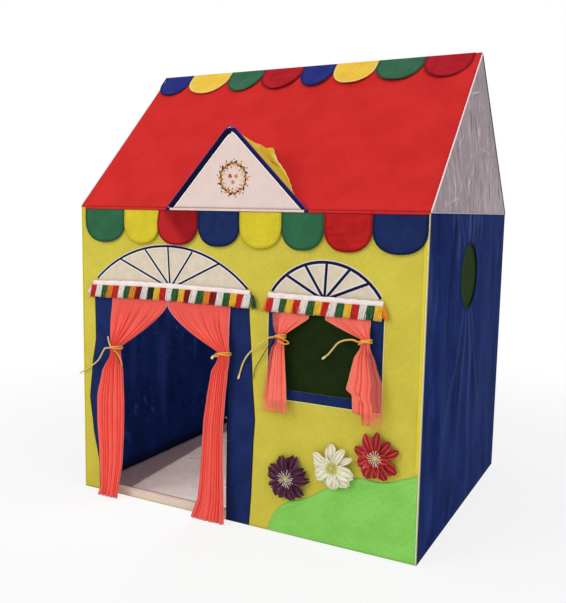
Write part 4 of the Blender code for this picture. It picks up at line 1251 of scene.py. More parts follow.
def makeWindowNet():
    left, right, low, high, plane = netEdges.values()

    def point(across, down):
        x, z = mix(left, right, across), mix(high, low, down)
        hold = ease(0, 0.04, min(x - left, right - x, high - z, z - low))
        return Vector((x, plane + frontSag(x, z) * 0.6 + 0.0012 * wander(x, z, 0.06, 15) * hold, z))

    shape = clothGrid(40, 36, point, flat=(right - left, high - low))
    return finishPiece(shape, "windowNetCloth", greenNet, "green_net", thick=0.0005,
                       replaces=("window_net",))


windowNet = makeWindowNet()


# The roof

roof = {"sag": 0.008, "thick": 0.0009, "length": 0.6930, "seed": 41}


def roofPoint(x, down, side, lift=0.0):  # down is the distance down the slope from the ridge
    y = side * (0.00015 + down * math.cos(roofPitch))
    z = tent["ridge"] - down * math.sin(roofPitch)
    out = Vector((0, side * math.sin(roofPitch), math.cos(roofPitch)))
    return Vector((x, y, z)) + out * lift


def roofSag(x, down, seed):
    hold = ease(0, 0.16, min(tent["side"] - abs(x), down, roof["length"] - down))
    drape = 0.6 + 0.4 * wander(x, down, 0.32, seed)
    fold = 0.18 * wander(x, down * 0.35, 0.09, seed + 1)
    return roof["sag"] * hold * max(0.0, drape + fold)


def makeSlope(name, node, side, seed):
    length = roof["length"]

    def point(across, down):
        x = mix(-tent["side"], tent["side"], across if side < 0 else 1 - across)
        return roofPoint(x, down * length, side, -roofSag(x, down * length, seed))

    shape = clothGrid(110, 64, point, flat=(2 * tent["side"], length))
    slope = finishPiece(shape, name, redCloth, "red_cloth", thick=roof["thick"], replaces=(node,))
    return slope


frontSlope = makeSlope("frontRoofCloth", "front_roof", -1, roof["seed"])
makeSlope("backRoofCloth", "back_roof", 1, 43)


gableCreases = [  # (y, z) of each pressed line, its half width and strength; on the right gable each is painted as a highlight, with a painted shadow beside it
    ([(-0.108, 1.328), (-0.022, 1.346)], 0.0030, 1.0),
    ([(-0.086, 1.147), (-0.168, 1.06), (-0.236, 0.995)], 0.0034, 0.9),
    ([(-0.023, 1.134), (-0.073, 1.082), (-0.11, 1.049)], 0.0036, 0.8),
    ([(-0.193, 1.192), (-0.24, 1.161)], 0.0050, 0.5),
    ([(0.049, 1.095), (0.02, 1.006)], 0.0040, 0.8),
    ([(0.038, 1.179), (0.167, 1.169)], 0.0040, 0.9),
    ([(-0.022, 1.309), (0.051, 1.305)], 0.0034, 0.5),
    ([(-0.2, 1.016), (-0.347, 0.993)], 0.0036, 0.9),
    ([(-0.04, 1.286), (-0.024, 1.246)], 0.0040, 0.5),
    ([(-0.057, 1.152), (-0.053, 1.093)], 0.0040, 0.6),
]
gableCut = {"low": 0.9722, "high": 1.4670, "half": 0.4840}


def pressedLines(y, z, lines):
    total = 0.0
    for run, wide, strength in lines:
        for (y0, z0), (y1, z1) in zip(run, run[1:]):
            span = (y1 - y0) ** 2 + (z1 - z0) ** 2
            share = min(1.0, max(0.0, ((y - y0) * (y1 - y0) + (z - z0) * (z1 - z0)) / span))
            away = math.hypot(y - mix(y0, y1, share), z - mix(z0, z1, share))
            total = max(total, strength * bell(away, wide))
    return total * ease(-0.5, 0.4, wander(y, z * 0.5, 0.014, 95))


def makeGable(name, node, side, seed):
    low, high, half = gableCut.values()

    def point(across, down):
        return Vector((0, mix(-half, half, across) * side, mix(high, low, down)))

    # painted highlight: a pale patch towards the back and low down, pale streaks and the pressed lines;
    # painted shade: dark streaks and a shadow beside each pressed line
    def fold(across, down):
        y, z = mix(-half, half, across) * side, mix(high, low, down)
        pale = 0.22 * ease(-0.05, 0.25, y) * ease(1.20, 1.00, z)
        bend = 0.006 * wander(y, z, 0.05, seed + 4)
        run = y + bend + (0.40 * (z - 1.15) if y < 0.0 else 0.12 * (z - 1.15))
        light = ease(0.20, 0.55, wander(run, z * 0.13, 0.011, seed + 3))
        dark = ease(0.20, 0.55, wander(run + 0.004, z * 0.13, 0.013, seed + 5))
        where = ease(-0.35, 0.35, wander(y, z, 0.11, seed + 6))
        lines = pressedLines(y + bend, z, gableCreases) if side > 0 else 0.0
        shadow = pressedLines(y + bend - 0.007, z + 0.002, gableCreases) if side > 0 else 0.0
        dark *= 0.4 + 0.6 * where
        return min(1.0, pale + 0.75 * light * where + 1.3 * lines), min(0.9, 0.75 * dark + 0.7 * shadow)

    shape = clothGrid(210, 110, point, flat=(2 * half, high - low), fold=fold)
    for way in (-1, 1):
        everything = shape.verts[:] + shape.edges[:] + shape.faces[:]
        out = (0, way * math.sin(roofPitch), math.cos(roofPitch))
        bmesh.ops.bisect_plane(shape, geom=everything, dist=1e-6, plane_co=(0, 0, high), plane_no=out,
                               clear_outer=True)
    for vert in shape.verts:
        y, z = vert.co.y, vert.co.z
        edge = min(z - low, (high - z) * math.cos(roofPitch) - abs(y) * math.sin(roofPitch))
        hold = ease(0, 0.05, edge)
        tall = max(0.0, wander(y + 0.35 * (z - low) * (1 if y < 0.1 else -0.4), z * 0.25, 0.045, seed))
        slant = max(0.0, wander(y - 0.9 * z, z * 0.5, 0.050, seed + 1))
        fine = abs(wander(y, z * 0.6, 0.022, seed + 2))
        level = bell(z - 1.368 - 0.10 * y, 0.005)
        swell = 0.0040 * tall + 0.0030 * slant + 0.0014 * fine + 0.0022 * level
        vert.co.x = side * (tent["side"] + hold * swell)
    bmesh.ops.recalc_face_normals(shape, faces=shape.faces)
    if shape.faces[0].normal.x * side < 0:
        bmesh.ops.reverse_faces(shape, faces=shape.faces)
    gable = finishPiece(shape, name, greyNylon, "grey_cloth", thick=0.0007, replaces=(node,))
    plane = side * tent["trims"]
    for part, start, end, steps, width, height, cloth in (
            ("PipingFront", (-0.4838, 0.9730), (0, 1.4665), 40, 0.008, 0.0016, "pipingWhite"),
            ("PipingBack", (0.4838, 0.9730), (0, 1.4665), 40, 0.005, 0.0016, "seamGrey"),
            ("FootSeam", (-0.482, low), (0.482, low), 60, 0.0036, 0.0014, "seamPale")):
        run = straight((plane, *start), (plane, *end), steps)
        strip = sweepAlong(run, flatSection(width, height), (side, 0, 0))
        finishPiece(strip, name + part, woven[cloth], "white_cloth")


makeGable("rightGableCloth", "right_gable", 1, 51)
makeGable("leftGableCloth", "left_gable", -1, 57)

floorHalf = (0.5975, 0.4825)


def makeFloor():
    x0, y0 = floorHalf

    def point(across, down):
        x, y = mix(-x0, x0, across), mix(y0, -y0, down)
        hold = ease(0, 0.05, min(x0 - abs(x), y0 - abs(y)))
        slant = abs(wander(x + 0.8 * y, y * 0.4, 0.07, 61))
        wide = 0.5 + 0.5 * wander(x, y, 0.16, 62)
        return Vector((x, y, 0.0012 + hold * (0.0035 * slant + 0.0030 * wide)))

    # painted shadow beside the left wall, with a pale line along its edge
    def shade(across, down):
        x, y = mix(-x0, x0, across), mix(y0, -y0, down)
        beyond = x + 0.4455 + 0.09 * (y + 0.415)  # the strip of painted shadow beside the left wall
        return ease(0.003, -0.003, beyond), 0.7 * bell(beyond - 0.003, 0.004)

    shape = clothGrid(260, 74, point, flat=(2 * x0, 2 * y0), fold=shade)
    floor = finishPiece(shape, "floorCloth", floorNylon, "grey_cloth", thick=0.0010,
                        replaces=("floor_sheet",))


makeFloor()
print("walls, roof, gables and floor made")


# The dormer: a printed front with a navy binding, and its yellow cover

dormer = {
    "middle": -0.003, "lean": -0.012, "base": 0.9738, "width": 0.490, "rise": 0.243, "round": 0.018,
    "face": -0.4862,
}


def dormerMiddle(z):  # the front leans a little to the left
    return dormer["middle"] + dormer["lean"] * (z - dormer["base"]) / dormer["rise"]


def dormerEdge(inset, count=64):  # (x, z) along the sloping sides and the round top
    slope = math.atan2(dormer["rise"], dormer["width"] / 2)
    half = dormer["width"] / 2 - inset / math.sin(slope)
    rise = dormer["rise"] - inset / math.cos(slope)
    radius = dormer["round"] + 0.006
    top = rise - radius
    corners = [(-half, 0.0)]
    for k in range(13):
        angle = math.pi / 2 + slope - 2 * slope * k / 12
        corners.append((radius * math.cos(angle), top + radius * math.sin(angle)))
    corners.append((half, 0.0))
    lengths = [0.0]
    for start, end in zip(corners, corners[1:]):
        lengths.append(lengths[-1] + math.dist(start, end))
    points = []
    for k in range(count + 1):
        run = lengths[-1] * k / count
        for number in range(len(lengths) - 1):
            if run <= lengths[number + 1] + 1e-9:
                share = (run - lengths[number]) / (lengths[number + 1] - lengths[number])
                x = mix(corners[number][0], corners[number + 1][0], share)
                z = mix(corners[number][1], corners[number + 1][1], share)
                break
        points.append((dormerMiddle(dormer["base"] + z) + x, dormer["base"] + z))
    return points


def dormerDent(x, z):
    near = (dormer["base"] + dormer["rise"] - z) * 0.7 - abs(x - dormerMiddle(z)) * 0.7
    hold = ease(0, 0.05, near) * ease(0, 0.04, z - dormer["base"])
    return 0.003 * hold * (0.5 + 0.5 * wander(x, z, 0.10, 71))


def onDormer(x, z, lift=0.0):
    return Vector((x, dormer["face"] + 0.0006 + dormerDent(x, z) - lift, z))


def makeDormerFront():
    slope = math.atan2(dormer["rise"], dormer["width"] / 2)
    top = dormer["rise"] - dormer["round"]

    def halfWidth(z):
        straight = dormer["round"] * math.sin(slope)
        change = top + dormer["round"] * math.cos(slope)
        if z <= change:
            return mix(dormer["width"] / 2, straight, z / change)
        return math.sqrt(max(0.0, dormer["round"] ** 2 - (z - top) ** 2))

    def point(across, down):
        z = dormer["rise"] * (1 - down ** 1.5)
        x = dormerMiddle(dormer["base"] + z) + (2 * across - 1) * halfWidth(z) * 0.98
        return onDormer(x, dormer["base"] + z * 0.988)

    shape = clothGrid(48, 44, point)
    bmesh.ops.remove_doubles(shape, verts=shape.verts, dist=1e-6)
    fillCloth(shape, asSeen)
    panel = finishPiece(shape, "dormerPanel", woven["dormerPanelCloth"], "dormer_print", thick=0.0008,
                        replaces=("dormer_front",))
    trims = []
    for side, bind, line, finish in (("Left", 0.0175, 0.0200, "bindingBlack"),
                                     ("Right", 0.0125, 0.0146, "bindingBlue")):
        for name, inset, width, height, cover, slot in (
                ("Binding", 0.0008 + bind / 2, bind, 0.0022, finish, "navy_cloth"),
                ("Outline", 0.0003, 0.0024, 0.0020, "lilacEdge", "navy_cloth"),
                ("Line", line, 0.0040, 0.0014, "pipingWhite", "white_cloth")):
            edge = dormerEdge(inset)
            part = edge[:33] if side == "Left" else edge[32:]
            path = [onDormer(x, z) for x, z in part]
            trims.append(finishPiece(sweepAlong(path, flatSection(width, height), (0, -1, 0)),
                                     f"dormer{name}{side}", woven[cover], slot))
    trims += makeDormerPrint()


printInks = {ink: clothFinish(ink + "Ink", paint(*colour), paint(*deep), mottleScale=60.0)
             for ink, (colour, deep) in {
    "orange": ((232, 160, 60), (214, 130, 50)),
    "red": ((206, 50, 56), (180, 34, 44)),
    "darkRed": ((130, 26, 24), (96, 16, 18)),
    "green": ((110, 150, 100), (80, 120, 80)),
    "plum": ((60, 22, 50), (40, 14, 36)),
    "gold": ((214, 176, 60), (190, 150, 48)),
}.items()}


def leafOutline(size):
    turns = [2 * math.pi * k / 14 for k in range(14)]
    return [(size / 2 * math.cos(t), size * 0.22 * math.sin(t) * (1 + 0.2 * math.cos(t))) for t in turns]


def printMark(outline, x, z, turn):  # one flat printed mark on the dormer's front
    shape = bmesh.new()
    shape.loops.layers.uv.new("cloth")
    c, s = math.cos(turn), math.sin(turn)
    spots = [(x + px * c - pz * s, z + px * s + pz * c) for px, pz in outline]
    face = shape.faces.new([shape.verts.new(onDormer(*spot, 0.00035)) for spot in spots])
    if face.normal.y > 0:
        face.normal_flip()
    fillCloth(shape, asSeen)
    return shape


wreath = {
    "middle": (-0.006, 1.064),
    "leaves": 54,
    "leafInks": ("orange", "red", "green", "darkRed", "gold", "red", "green", "orange", "plum"),
    "leafRows": ((0.0475, 0.7, 0.0150), (0.0385, -0.7, 0.0115), (0.0435, 0.1, 0.0130)),
    "dots": 26,
    "dotInks": ("plum", "gold", "green", "red"),
    "dotRows": (0.0560, 0.0310),
    "bloomInks": ("orange", "red", "gold"),
}


def makeDormerPrint():  # a wreath of small leaves and dots round three small blooms
    picks = random.Random(17)
    marks = {ink: [] for ink in printInks}

    def around(middle, out, angle):
        return middle[0] + out * math.cos(angle), middle[1] + out * math.sin(angle)

    def stamp(ink, outline, spot, turn=0.0):
        marks[ink].append(printMark(outline, *spot, turn))

    for number in range(wreath["leaves"]):
        angle = 2 * math.pi * number / wreath["leaves"]
        out, lean, size = wreath["leafRows"][number % 3]
        out += picks.uniform(-0.0012, 0.0012)
        size *= picks.uniform(0.85, 1.15)
        stamp(wreath["leafInks"][number % 9], leafOutline(size),
              around(wreath["middle"], out, angle), angle + math.pi / 2 + lean)
    for number in range(wreath["dots"]):
        angle = 2 * math.pi * (number + 0.3) / wreath["dots"]
        stamp(wreath["dotInks"][number % 4], roundSection(picks.uniform(0.0030, 0.0052) / 2, 12),
              around(wreath["middle"], wreath["dotRows"][number % 2], angle))
    for number, ink in enumerate(wreath["bloomInks"]):
        heart = around(wreath["middle"], 0.0120, 2 * math.pi * number / 3 + 0.5)
        for petal in range(5):
            stamp(ink, roundSection(0.0026, 12), around(heart, 0.0045, 2 * math.pi * petal / 5 + number))
        stamp("plum", roundSection(0.0017, 12), heart)
    return [finishPiece(joinShapes(shapes), ink + "Print", printInks[ink], "dormer_print", thick=0.0002)
            for ink, shapes in marks.items()]


# (x, y) where the cover's right half is sewn to the roof, from its tip to its foot
coverSeam = [(0.0309, -0.3061), (0.0746, -0.3467), (0.1041, -0.3691), (0.1278, -0.3908),
             (0.1500, -0.4135), (0.1694, -0.4356), (0.2028, -0.4671), (0.2319, -0.4850)]


def onRoof(x, y, lift):
    down = abs(y) / math.cos(roofPitch)
    return roofPoint(x, down, -1, lift - roofSag(x, down, roof["seed"]))


def makeDormerCover():
    edge = dormerEdge(0.006, 48)
    tip, foot = coverSeam[0][0], coverSeam[-1][0]

    def point(across, down):
        number = across * 48
        low = min(47, int(number))
        x = mix(edge[low][0], edge[low + 1][0], number - low)
        z = mix(edge[low][1], edge[low + 1][1], number - low)
        share = abs(2 * across - 1)  # 0 on the ridge, 1 at the foot
        run = mix(tip, foot, share)
        y = along(coverSeam, run)
        end = onRoof(run if across > 0.5 else mix(tip, -0.2450, share), y, 0.0008)
        end.z += 0.011 * bell(share, 0.05)
        spot = Vector((x, -0.4838, z)).lerp(end, down)
        arch = math.sin(math.pi * down)
        ridge = bell(share, 0.16)
        spot.z -= 0.0100 * arch * ridge * (0.6 + 0.6 * down)
        spot.z -= 0.0050 * bell(down - 0.84, 0.08) * ridge
        puff = 0.0085 * arch * bell(share - 0.50, 0.26)
        dimple = 0.0120 * bell(share - 0.30, 0.10) * bell(down - 0.62, 0.16)
        crumple = 0.0034 * wander(x * 1.4 + 0.3 * down, z - down * 0.1, 0.035, 75) * arch * (1 - share)
        spot += Vector((0.5 if across > 0.5 else -0.5, -0.3, 0.8)) * (puff - dimple + crumple)
        spot.z = max(spot.z, onRoof(spot.x, spot.y, 0.0006).z)
        return spot

    # painted highlight along the cover's foot and in soft patches, and painted shade in its dent
    def fold(across, down):
        share = abs(2 * across - 1)
        rim = ease(0.86, 0.97, down) * ease(0.02, 0.12, share) * ease(1.0, 0.8, share)
        glow = 0.5 * ease(0.0, 0.5, wander(across, down * 0.2, 0.06, 76)) * ease(0.1, 0.4, down)
        dent = bell(share - 0.27, 0.09) * bell(down - 0.72, 0.12)
        return min(1.0, rim + glow), 0.85 * dent

    shape = clothGrid(110, 44, point, flat=(0.62, 0.22), fold=fold)
    bmesh.ops.remove_doubles(shape, verts=shape.verts, dist=1e-6)
    cover = finishPiece(shape, "dormerCoverCloth", dormerCloth, "yellow_cloth", thick=0.0006,
                        replaces=("dormer_cover",))


makeDormerFront()
makeDormerCover()
print("dormer made")


# Scallops along the eave and the ridge

scallop = {"half": 0.074, "drop": 0.115, "thick": 0.0012, "eavePlane": -0.4862}
eaveCut = {"straight": 0.045, "power": 2.35, "area": 0.01526}
ridgeCut = {"straight": 0.030, "power": 2.0, "area": 0.01432}
eaveEdges = [-0.580, -0.4155, -0.2765, -0.1300, 0.0195, 0.1605, 0.2960, 0.4405, 0.5965]
ridgeEdges = [-0.6080, -0.4760, -0.3070, -0.1680, -0.0120, 0.1100, 0.2610, 0.4230, 0.5790]


def lobeDrop(x, cut):  # how far a lobe hangs at this distance from its middle
    share = min(1.0, abs(x) / scallop["half"])
    curve = (1 - share ** cut["power"]) ** (1 / cut["power"])
    return mix(cut["straight"], scallop["drop"], curve)


def lobePlace(edges, number):  # a lobe's middle, and how much wider it is than its pattern
    start, end = edges[number - 1], edges[number]
    return (start + end) / 2, (end - start) / (2 * scallop["half"]) * 1.004


def lobeRim(cut):
    points = [(-scallop["half"], 0.0)]
    for k in range(41):
        x = -scallop["half"] * math.cos(math.pi * k / 40)
        points.append((x, lobeDrop(x, cut)))
    return points + [(scallop["half"], 0.0)]


def rimDistance(x, down, rimPoints):
    best = (1.0, 0.0)
    run = 0.0
    spot = Vector((x, down))
    for start, end in zip(rimPoints, rimPoints[1:]):
        a, b = Vector(start), Vector(end)
        span = b - a
        share = min(1.0, max(0.0, (spot - a).dot(span) / max(1e-12, span.length_squared)))
        away = (spot - (a + span * share)).length
        if away < best[0]:
            best = (away, run + share * span.length)
        run += span.length
    return best[1], best[0]


def lobeShape(place, folds, cut, crest=None):
    # place(x, down, out) puts a point of the lobe; folds(x, down) is how far it stands out
    rimPoints = lobeRim(cut)

    def spot(across, down):
        x = -scallop["half"] * math.cos(math.pi * across)
        return x, down * lobeDrop(x, cut)

    def point(across, down):
        x, run = spot(across, down)
        return place(x, run, folds(x, run))

    def fold(across, down):
        return crest(*spot(across, down))

    return clothGrid(40, 30, point, hem=lambda across, down: rimDistance(*spot(across, down), rimPoints),
                     fold=fold if crest else None)


feltSlots = {"green": "green_felt", "ridgeGreen": "green_felt", "yellow": "yellow_felt",
             "amber": "yellow_felt", "red": "red_felt", "foldedRed": "red_felt", "ridgeRed": "red_felt",
             "blue": "blue_felt", "ridgeBlue": "blue_felt"}


def sewLobe(shape, name, colour, body, node, cut, rests, **more):
    lobe = finishPiece(shape, name, felts[colour], feltSlots[colour], body=body,
                       thick=scallop["thick"], replaces=(node,))


eaveFolds = {  # how far each eave lobe stands out at x from its middle and d below its seam
    1: lambda x, d: 0.0020 * math.cos(x * 52) * d / 0.1,
    2: lambda x, d: 0.0028 * bell(x - 0.004 + d * 0.15, 0.012) * d / 0.1,
    3: lambda x, d: 0.0090 * ease(-0.012, 0.012, 0.85 * d - 0.068 - x) * ease(0, 0.05, d),
    4: lambda x, d: 0.0030 * math.cos(x * 40 + 0.4) * d / 0.1,
    5: lambda x, d: 0.0016 * math.cos(x * 46 + 1.0) * d / 0.1,
    6: lambda x, d: (0.0040 * bell(x + 0.012 - d * 0.30, 0.010) * ease(0, 0.03, d)
                     + 0.0022 * bell(x - 0.030 + d * 0.5, 0.010)),
    7: lambda x, d: (0.0017 * math.sin(d * 260 + x * 30 + 1.5 * wander(x, d, 0.03, 81))
                     * ease(0.074, 0.050, abs(x)) * ease(0, 0.02, d)),
    8: lambda x, d: (0.0042 * bell(x + 0.006 - (0.11 - d) * 0.55, 0.011) * ease(0, 0.03, d)
                     + 0.0016 * math.sin(d * 210 + x * 60) * ease(0.06, 0.01, d)),
}


def turnedUp(x, down):  # where the third lobe's fold turns to the light
    return ease(0.020, -0.016, x + 0.062 - 0.85 * down)


# where each cloth of the hem begins, and which of its materials it is
headingParts = [(-0.62, 0), (-0.2490, 2), (-0.2340, 1), (0.2330, 2), (0.2470, 0)]


def makeHeading(number, depth):  # the eave's hem, over the top of one scallop
    start, end = eaveEdges[number - 1], eaveEdges[number]
    stops = [start + (end - start) * k / 12 for k in range(13)]
    stops = sorted(stops + [place for place, kind in headingParts if start < place < end])
    levels = [0.9738, 0.9700, 0.9668, 0.9657]
    columns = len(stops) - 1

    def point(across, down):
        x = stops[round(across * columns)]
        return Vector((x, depth(x) - 0.0008 if down else -0.4880, levels[round(down * 3)]))

    shape = clothGrid(columns, 3, point)
    fillCloth(shape, asSeen)
    for face in shape.faces:
        middle = face.calc_center_median()
        kinds = [kind for place, kind in headingParts if place < middle.x]
        face.material_index = 3 if middle.z < levels[2] else kinds[-1]
    cloths = [redCloth, woven["dormerPanelCloth"], woven["bindingBlue"], felts["ridgeRed"]]
    return finishPiece(shape, f"eaveHem{number}", cloths, "red_cloth", body=f"eave_flap_{number}",
                       thick=0.0006)


def makeEaveScallop(number, colour):
    middle, stretch = lobePlace(eaveEdges, number)

    def folds(x, down):
        fine = 0.0009 * wander(x + number, down, 0.022, 82) * ease(0, 0.03, down)
        swing = 0.0012 + 0.0030 * (down / scallop["drop"]) ** 1.5
        return max(0.0002, swing + eaveFolds[number](x, down) + fine)

    def place(x, down, out):
        return Vector((middle + x * stretch, scallop["eavePlane"] - out, tent["wallTop"] + 0.0016 - down))

    def hemDepth(x):
        return scallop["eavePlane"] - folds((x - middle) / stretch, 0.003) - scallop["thick"]

    shape = lobeShape(place, folds, eaveCut, turnedUp if number == 3 else None)
    fillCloth(shape, asSeen)
    sewLobe(shape, f"eaveScallop{number}", colour, f"eave_flap_{number}", f"eave_scallop_{number}",
            eaveCut, frontWall, with_pieces=[makeHeading(number, hemDepth)])


def makeRidgeScallop(number, colour):
    middle, stretch = lobePlace(ridgeEdges, number)

    def folds(x, down):
        fine = 0.0010 * wander(x + number * 3, down, 0.030, 84)
        if number in (4, 8):  # these two are creased
            fine += 0.0016 * wander(x * 0.5 + number, down, 0.016, 85)
            fine += 0.0034 * bell(x + 0.040, 0.006) * ease(0.11, 0.06, down)
        lift = 0.0052 * (down / scallop["drop"]) ** 2 * (0.6 + 0.4 * math.cos(x * 34 + number))
        return max(0.0006, 0.0014 + lift + fine * ease(0, 0.03, down))

    def place(x, down, out):
        return roofPoint(middle + x * stretch, down - 0.0006, -1, out)

    shape = lobeShape(place, folds, ridgeCut)
    fillCloth(shape, lambda spot: (spot.x, spot.z * 1.4))
    sewLobe(shape, f"ridgeScallop{number}", colour, "ridge_flap", "ridge_scallops", ridgeCut, frontSlope)


for number, colour in enumerate("green yellow foldedRed blue yellow green red blue".split(), 1):
    makeEaveScallop(number, colour)
for number, colour in enumerate(2 * ("ridgeBlue", "amber", "ridgeGreen", "ridgeRed"), 1):
    makeRidgeScallop(number, colour)
print("scallops made")


# Curtains: one continuous cloth from the header to the hem, drawn in at its tie

curtains = {
    "door_curtain_left": {
        "outer": -0.468, "inner": -0.245, "folds": 7, "kick": 0.022, "hem": 0.003,
        "edges": [(0.0, -0.21, 0.21), (0.14, -0.59, 0.33), (0.32, -0.79, 0.39), (0.50, -0.78, 0.39),
                  (0.73, -0.65, 0.37), (0.94, -0.53, 0.24), (1.0, -0.63, 0.23)],
        "body": "door_left_tail", "seed": 91, "finish": curtainCoral,
    },
    "door_curtain_right": {
        "outer": -0.010, "inner": -0.243, "folds": 8, "kick": 0.022, "hem": 0.003,
        "edges": [(0.0, -0.21, 0.21), (0.08, -0.44, 0.15), (0.24, -0.57, 0.08), (0.40, -0.69, 0.03),
                  (0.61, -0.73, 0.05), (0.72, -0.76, 0.09), (0.87, -0.80, 0.15), (1.0, -1.01, 0.20)],
        "body": "door_right_tail", "seed": 93, "finish": curtainCoral,
    },
    "window_curtain_left": {
        "outer": 0.137, "inner": 0.256, "folds": 5, "kick": 0.004, "hem": 0.378,
        "edges": [(0.0, -0.14, 0.14), (0.10, -0.29, 0.16), (0.28, -0.37, 0.20), (0.65, -0.50, 0.26),
                  (1.0, -0.58, 0.31)],
        "body": "window_left_tail", "seed": 95, "finish": windowLeftCoral,
    },
    "window_curtain_right": {
        "outer": 0.445, "inner": 0.306, "folds": 5, "kick": 0.004, "hem": 0.378,
        "edges": [(0.0, -0.14, 0.14), (0.18, -0.33, 0.33), (0.45, -0.44, 0.54), (0.66, -0.53, 0.57),
                  (0.74, -0.34, 0.58), (1.0, -0.31, 0.58)],
        "steps": [(0.0, 0.413), (0.30, 0.409), (0.34, 0.381), (1.0, 0.378)],
        "body": "window_right_tail", "seed": 97, "finish": windowRightCoral,
    },
}

hanging = {"top": 0.716, "underFringe": 0.665, "back": -0.4853, "belowTie": 0.0073}


def waistHinge(waist):  # where the tail starts, below the tie
    return waist["tie"] - hanging["belowTie"] - waist["depth"] / 2


def foldWave(across, folds, seed, down):  # broad folds with narrow valleys of uneven depth
    bent = across + 0.040 * wander(across * 3, down * 0.6, 0.5, seed)
    bent += 0.016 * wander(across * 7, down, 0.4, seed + 1)
    beat = math.pi * folds * bent + 0.9 * math.sin(2 * math.pi * bent * 1.7 + seed)
    crest = abs(math.sin(beat)) ** 0.50
    deep = 0.88 + 0.85 * wander(round(beat / math.pi) * 1.7, down * 0.5, 1.0, seed + 2)
    roll = 0.22 * wander(across * 3.1, down * 0.8, 1.0, seed + 3)
    return 2 * (1 - crest) * min(1.1, max(0.3, deep)) - 0.9 + roll


def curtainPoint(curtain, waist, left, across, height):
    # across runs from the left edge, height is the row's own z
    door = waist["width"] > 0.03
    tie = waist["tie"]
    hinge = waistHinge(waist)
    toInner = across if left else 1 - across
    seed = curtain["seed"]
    if height > tie:
        start = hanging["underFringe"]
        drawn = min(1.0, max(0.0, (start - height) / (start - (tie + 0.007))))
        half = waist["width"] / 2 if left else -waist["width"] / 2
        outerX = mix(curtain["outer"], waist["x"] - half, drawn ** (2.6 if door else 1.15))
        innerX = mix(curtain["inner"], waist["x"] + half, drawn ** (1.38 if door else 1.06))
        x = mix(outerX, innerX, toInner)
        middle = mix(hanging["back"] - 0.0021, waist["y"], ease(0, 1, drawn) * 0.5 + drawn * 0.5)
        full = 0.0056 if door else 0.0042
        deep = mix(0.0016, full, ease(0.0, 0.45, drawn))
        roundness = math.sqrt(max(0.04, 1 - (2 * toInner - 1) ** 2))
        deep = mix(deep, (waist["depth"] / 2) * roundness, ease(0.55, 1.0, drawn))
        forward = (0.004 if door else 0.0025) * math.sin(math.pi * drawn)
        fold = foldWave(across, curtain["folds"], seed, 0.3 + 0.35 * drawn)
        crumple = 0.25 * wander(across * 5, height * 9, 0.5, seed + 4) * math.sin(math.pi * drawn)
        return Vector((x, middle - forward + deep * (fold + crumple), height))
    fall = max(0.0, (hinge - height) / (hinge - curtain["hem"]))
    rows = curtain["edges"]
    low, high = rows[-1][1], rows[-1][2]
    for (above, a0, b0), (below, a1, b1) in zip(rows, rows[1:]):
        if fall <= below:
            share = (fall - above) / (below - above)
            soft = share * 0.6 + 0.4 * ease(0, 1, share)
            low, high = mix(a0, a1, soft), mix(b0, b1, soft)
            break
    if "steps" in curtain:
        height = hinge - fall * (hinge - along(curtain["steps"], across)) if fall else height
    x = waist["x"] + 0.1 * mix(low, high, across)
    roundness = math.sqrt(max(0.04, 1 - (2 * across - 1) ** 2))
    pinch = waist["depth"] / 2 * roundness
    spread = (0.0066 if door else 0.0046) * (0.75 + 0.25 * roundness)
    deep = mix(pinch, spread, ease(0.02, 0.30, fall))
    middle = waist["y"] - curtain["kick"] * fall ** 3 - (0.002 if door else 0.001) * ease(0, 0.3, fall)
    fold = foldWave(across, curtain["folds"], seed, 0.65 + 0.5 * fall)
    slack = 0.18 * wander(across * 4, height * 6, 0.5, seed + 6) * ease(0, 0.2, fall)
    return Vector((x, middle + deep * (fold + slack), height))


def makeCurtain(name, curtain):
    waist = waists[name]
    left = curtain["outer"] < curtain["inner"]
    tie, hem = waist["tie"], curtain["hem"]
    rows, cutWide = (60, 0.236) if hem < 0.1 else (32, 0.136)
    top, start = hanging["top"], hanging["underFringe"]
    heights = [mix(top, start, k / 6) for k in range(6)]
    heights += [mix(start, tie, ease(0, 1, k / 34) * 0.4 + 0.6 * k / 34) for k in range(34)]
    heights += [mix(tie, hem, k / rows) for k in range(rows + 1)]
    last = len(heights) - 1
    columns = 20 * curtain["folds"]

    def point(across, down):
        return curtainPoint(curtain, waist, left, across, heights[round(down * last)])

    def hemPlace(across, down):
        height = heights[round(down * last)]
        edge = min(across, 1 - across) * cutWide
        return (height if edge < height - hem else across * cutWide), min(edge, height - hem)

    shape = clothGrid(columns, last, point, hem=hemPlace)
    cloth = shape.loops.layers.uv["cloth"]
    shape.verts.ensure_lookup_table()
    for face in shape.faces:
        for loop in face.loops:
            number = loop.vert.index % (columns + 1)
            loop[cloth].uv = (number / columns * cutWide, loop.vert.co.z)
    piece = finishPiece(shape, name + "_cloth", curtain["finish"], "coral_cloth", body=None, thick=0.0005,
                        offset=0, replaces=(name, name + "_tail"))
    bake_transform(piece)


for name, curtain in curtains.items():
    makeCurtain(name, curtain)
print("curtains hung")


# Tassel fringes

fringes = {
    "door": {
        "left": -0.553, "right": 0.0655, "node": "door_fringe", "body": "door_fringe_flap", "seed": 5,
        "colours": "red white green orange red white green orange darkRed white darkGreen yellow red "
                   "white green yellow darkRed white green orange darkRed white green yellow red white",
        "loose": [(-0.553, "white", -1), (0.064, "darkGreen", 1), (0.067, "green", 1),
                  (0.070, "darkGreen", 1)],
    },
    "window": {
        "left": 0.120, "right": 0.480, "node": "window_fringe", "body": "window_fringe_flap", "seed": 6,
        "colours": "red white green yellow red white green yellow red white green yellow "
                   "red white green yellow",
        "loose": [(0.120, "orange", -1), (0.118, "yellow", -1), (0.122, "orange", -1),
                  (0.478, "orange", 1), (0.482, "orange", 1)],
    },
}


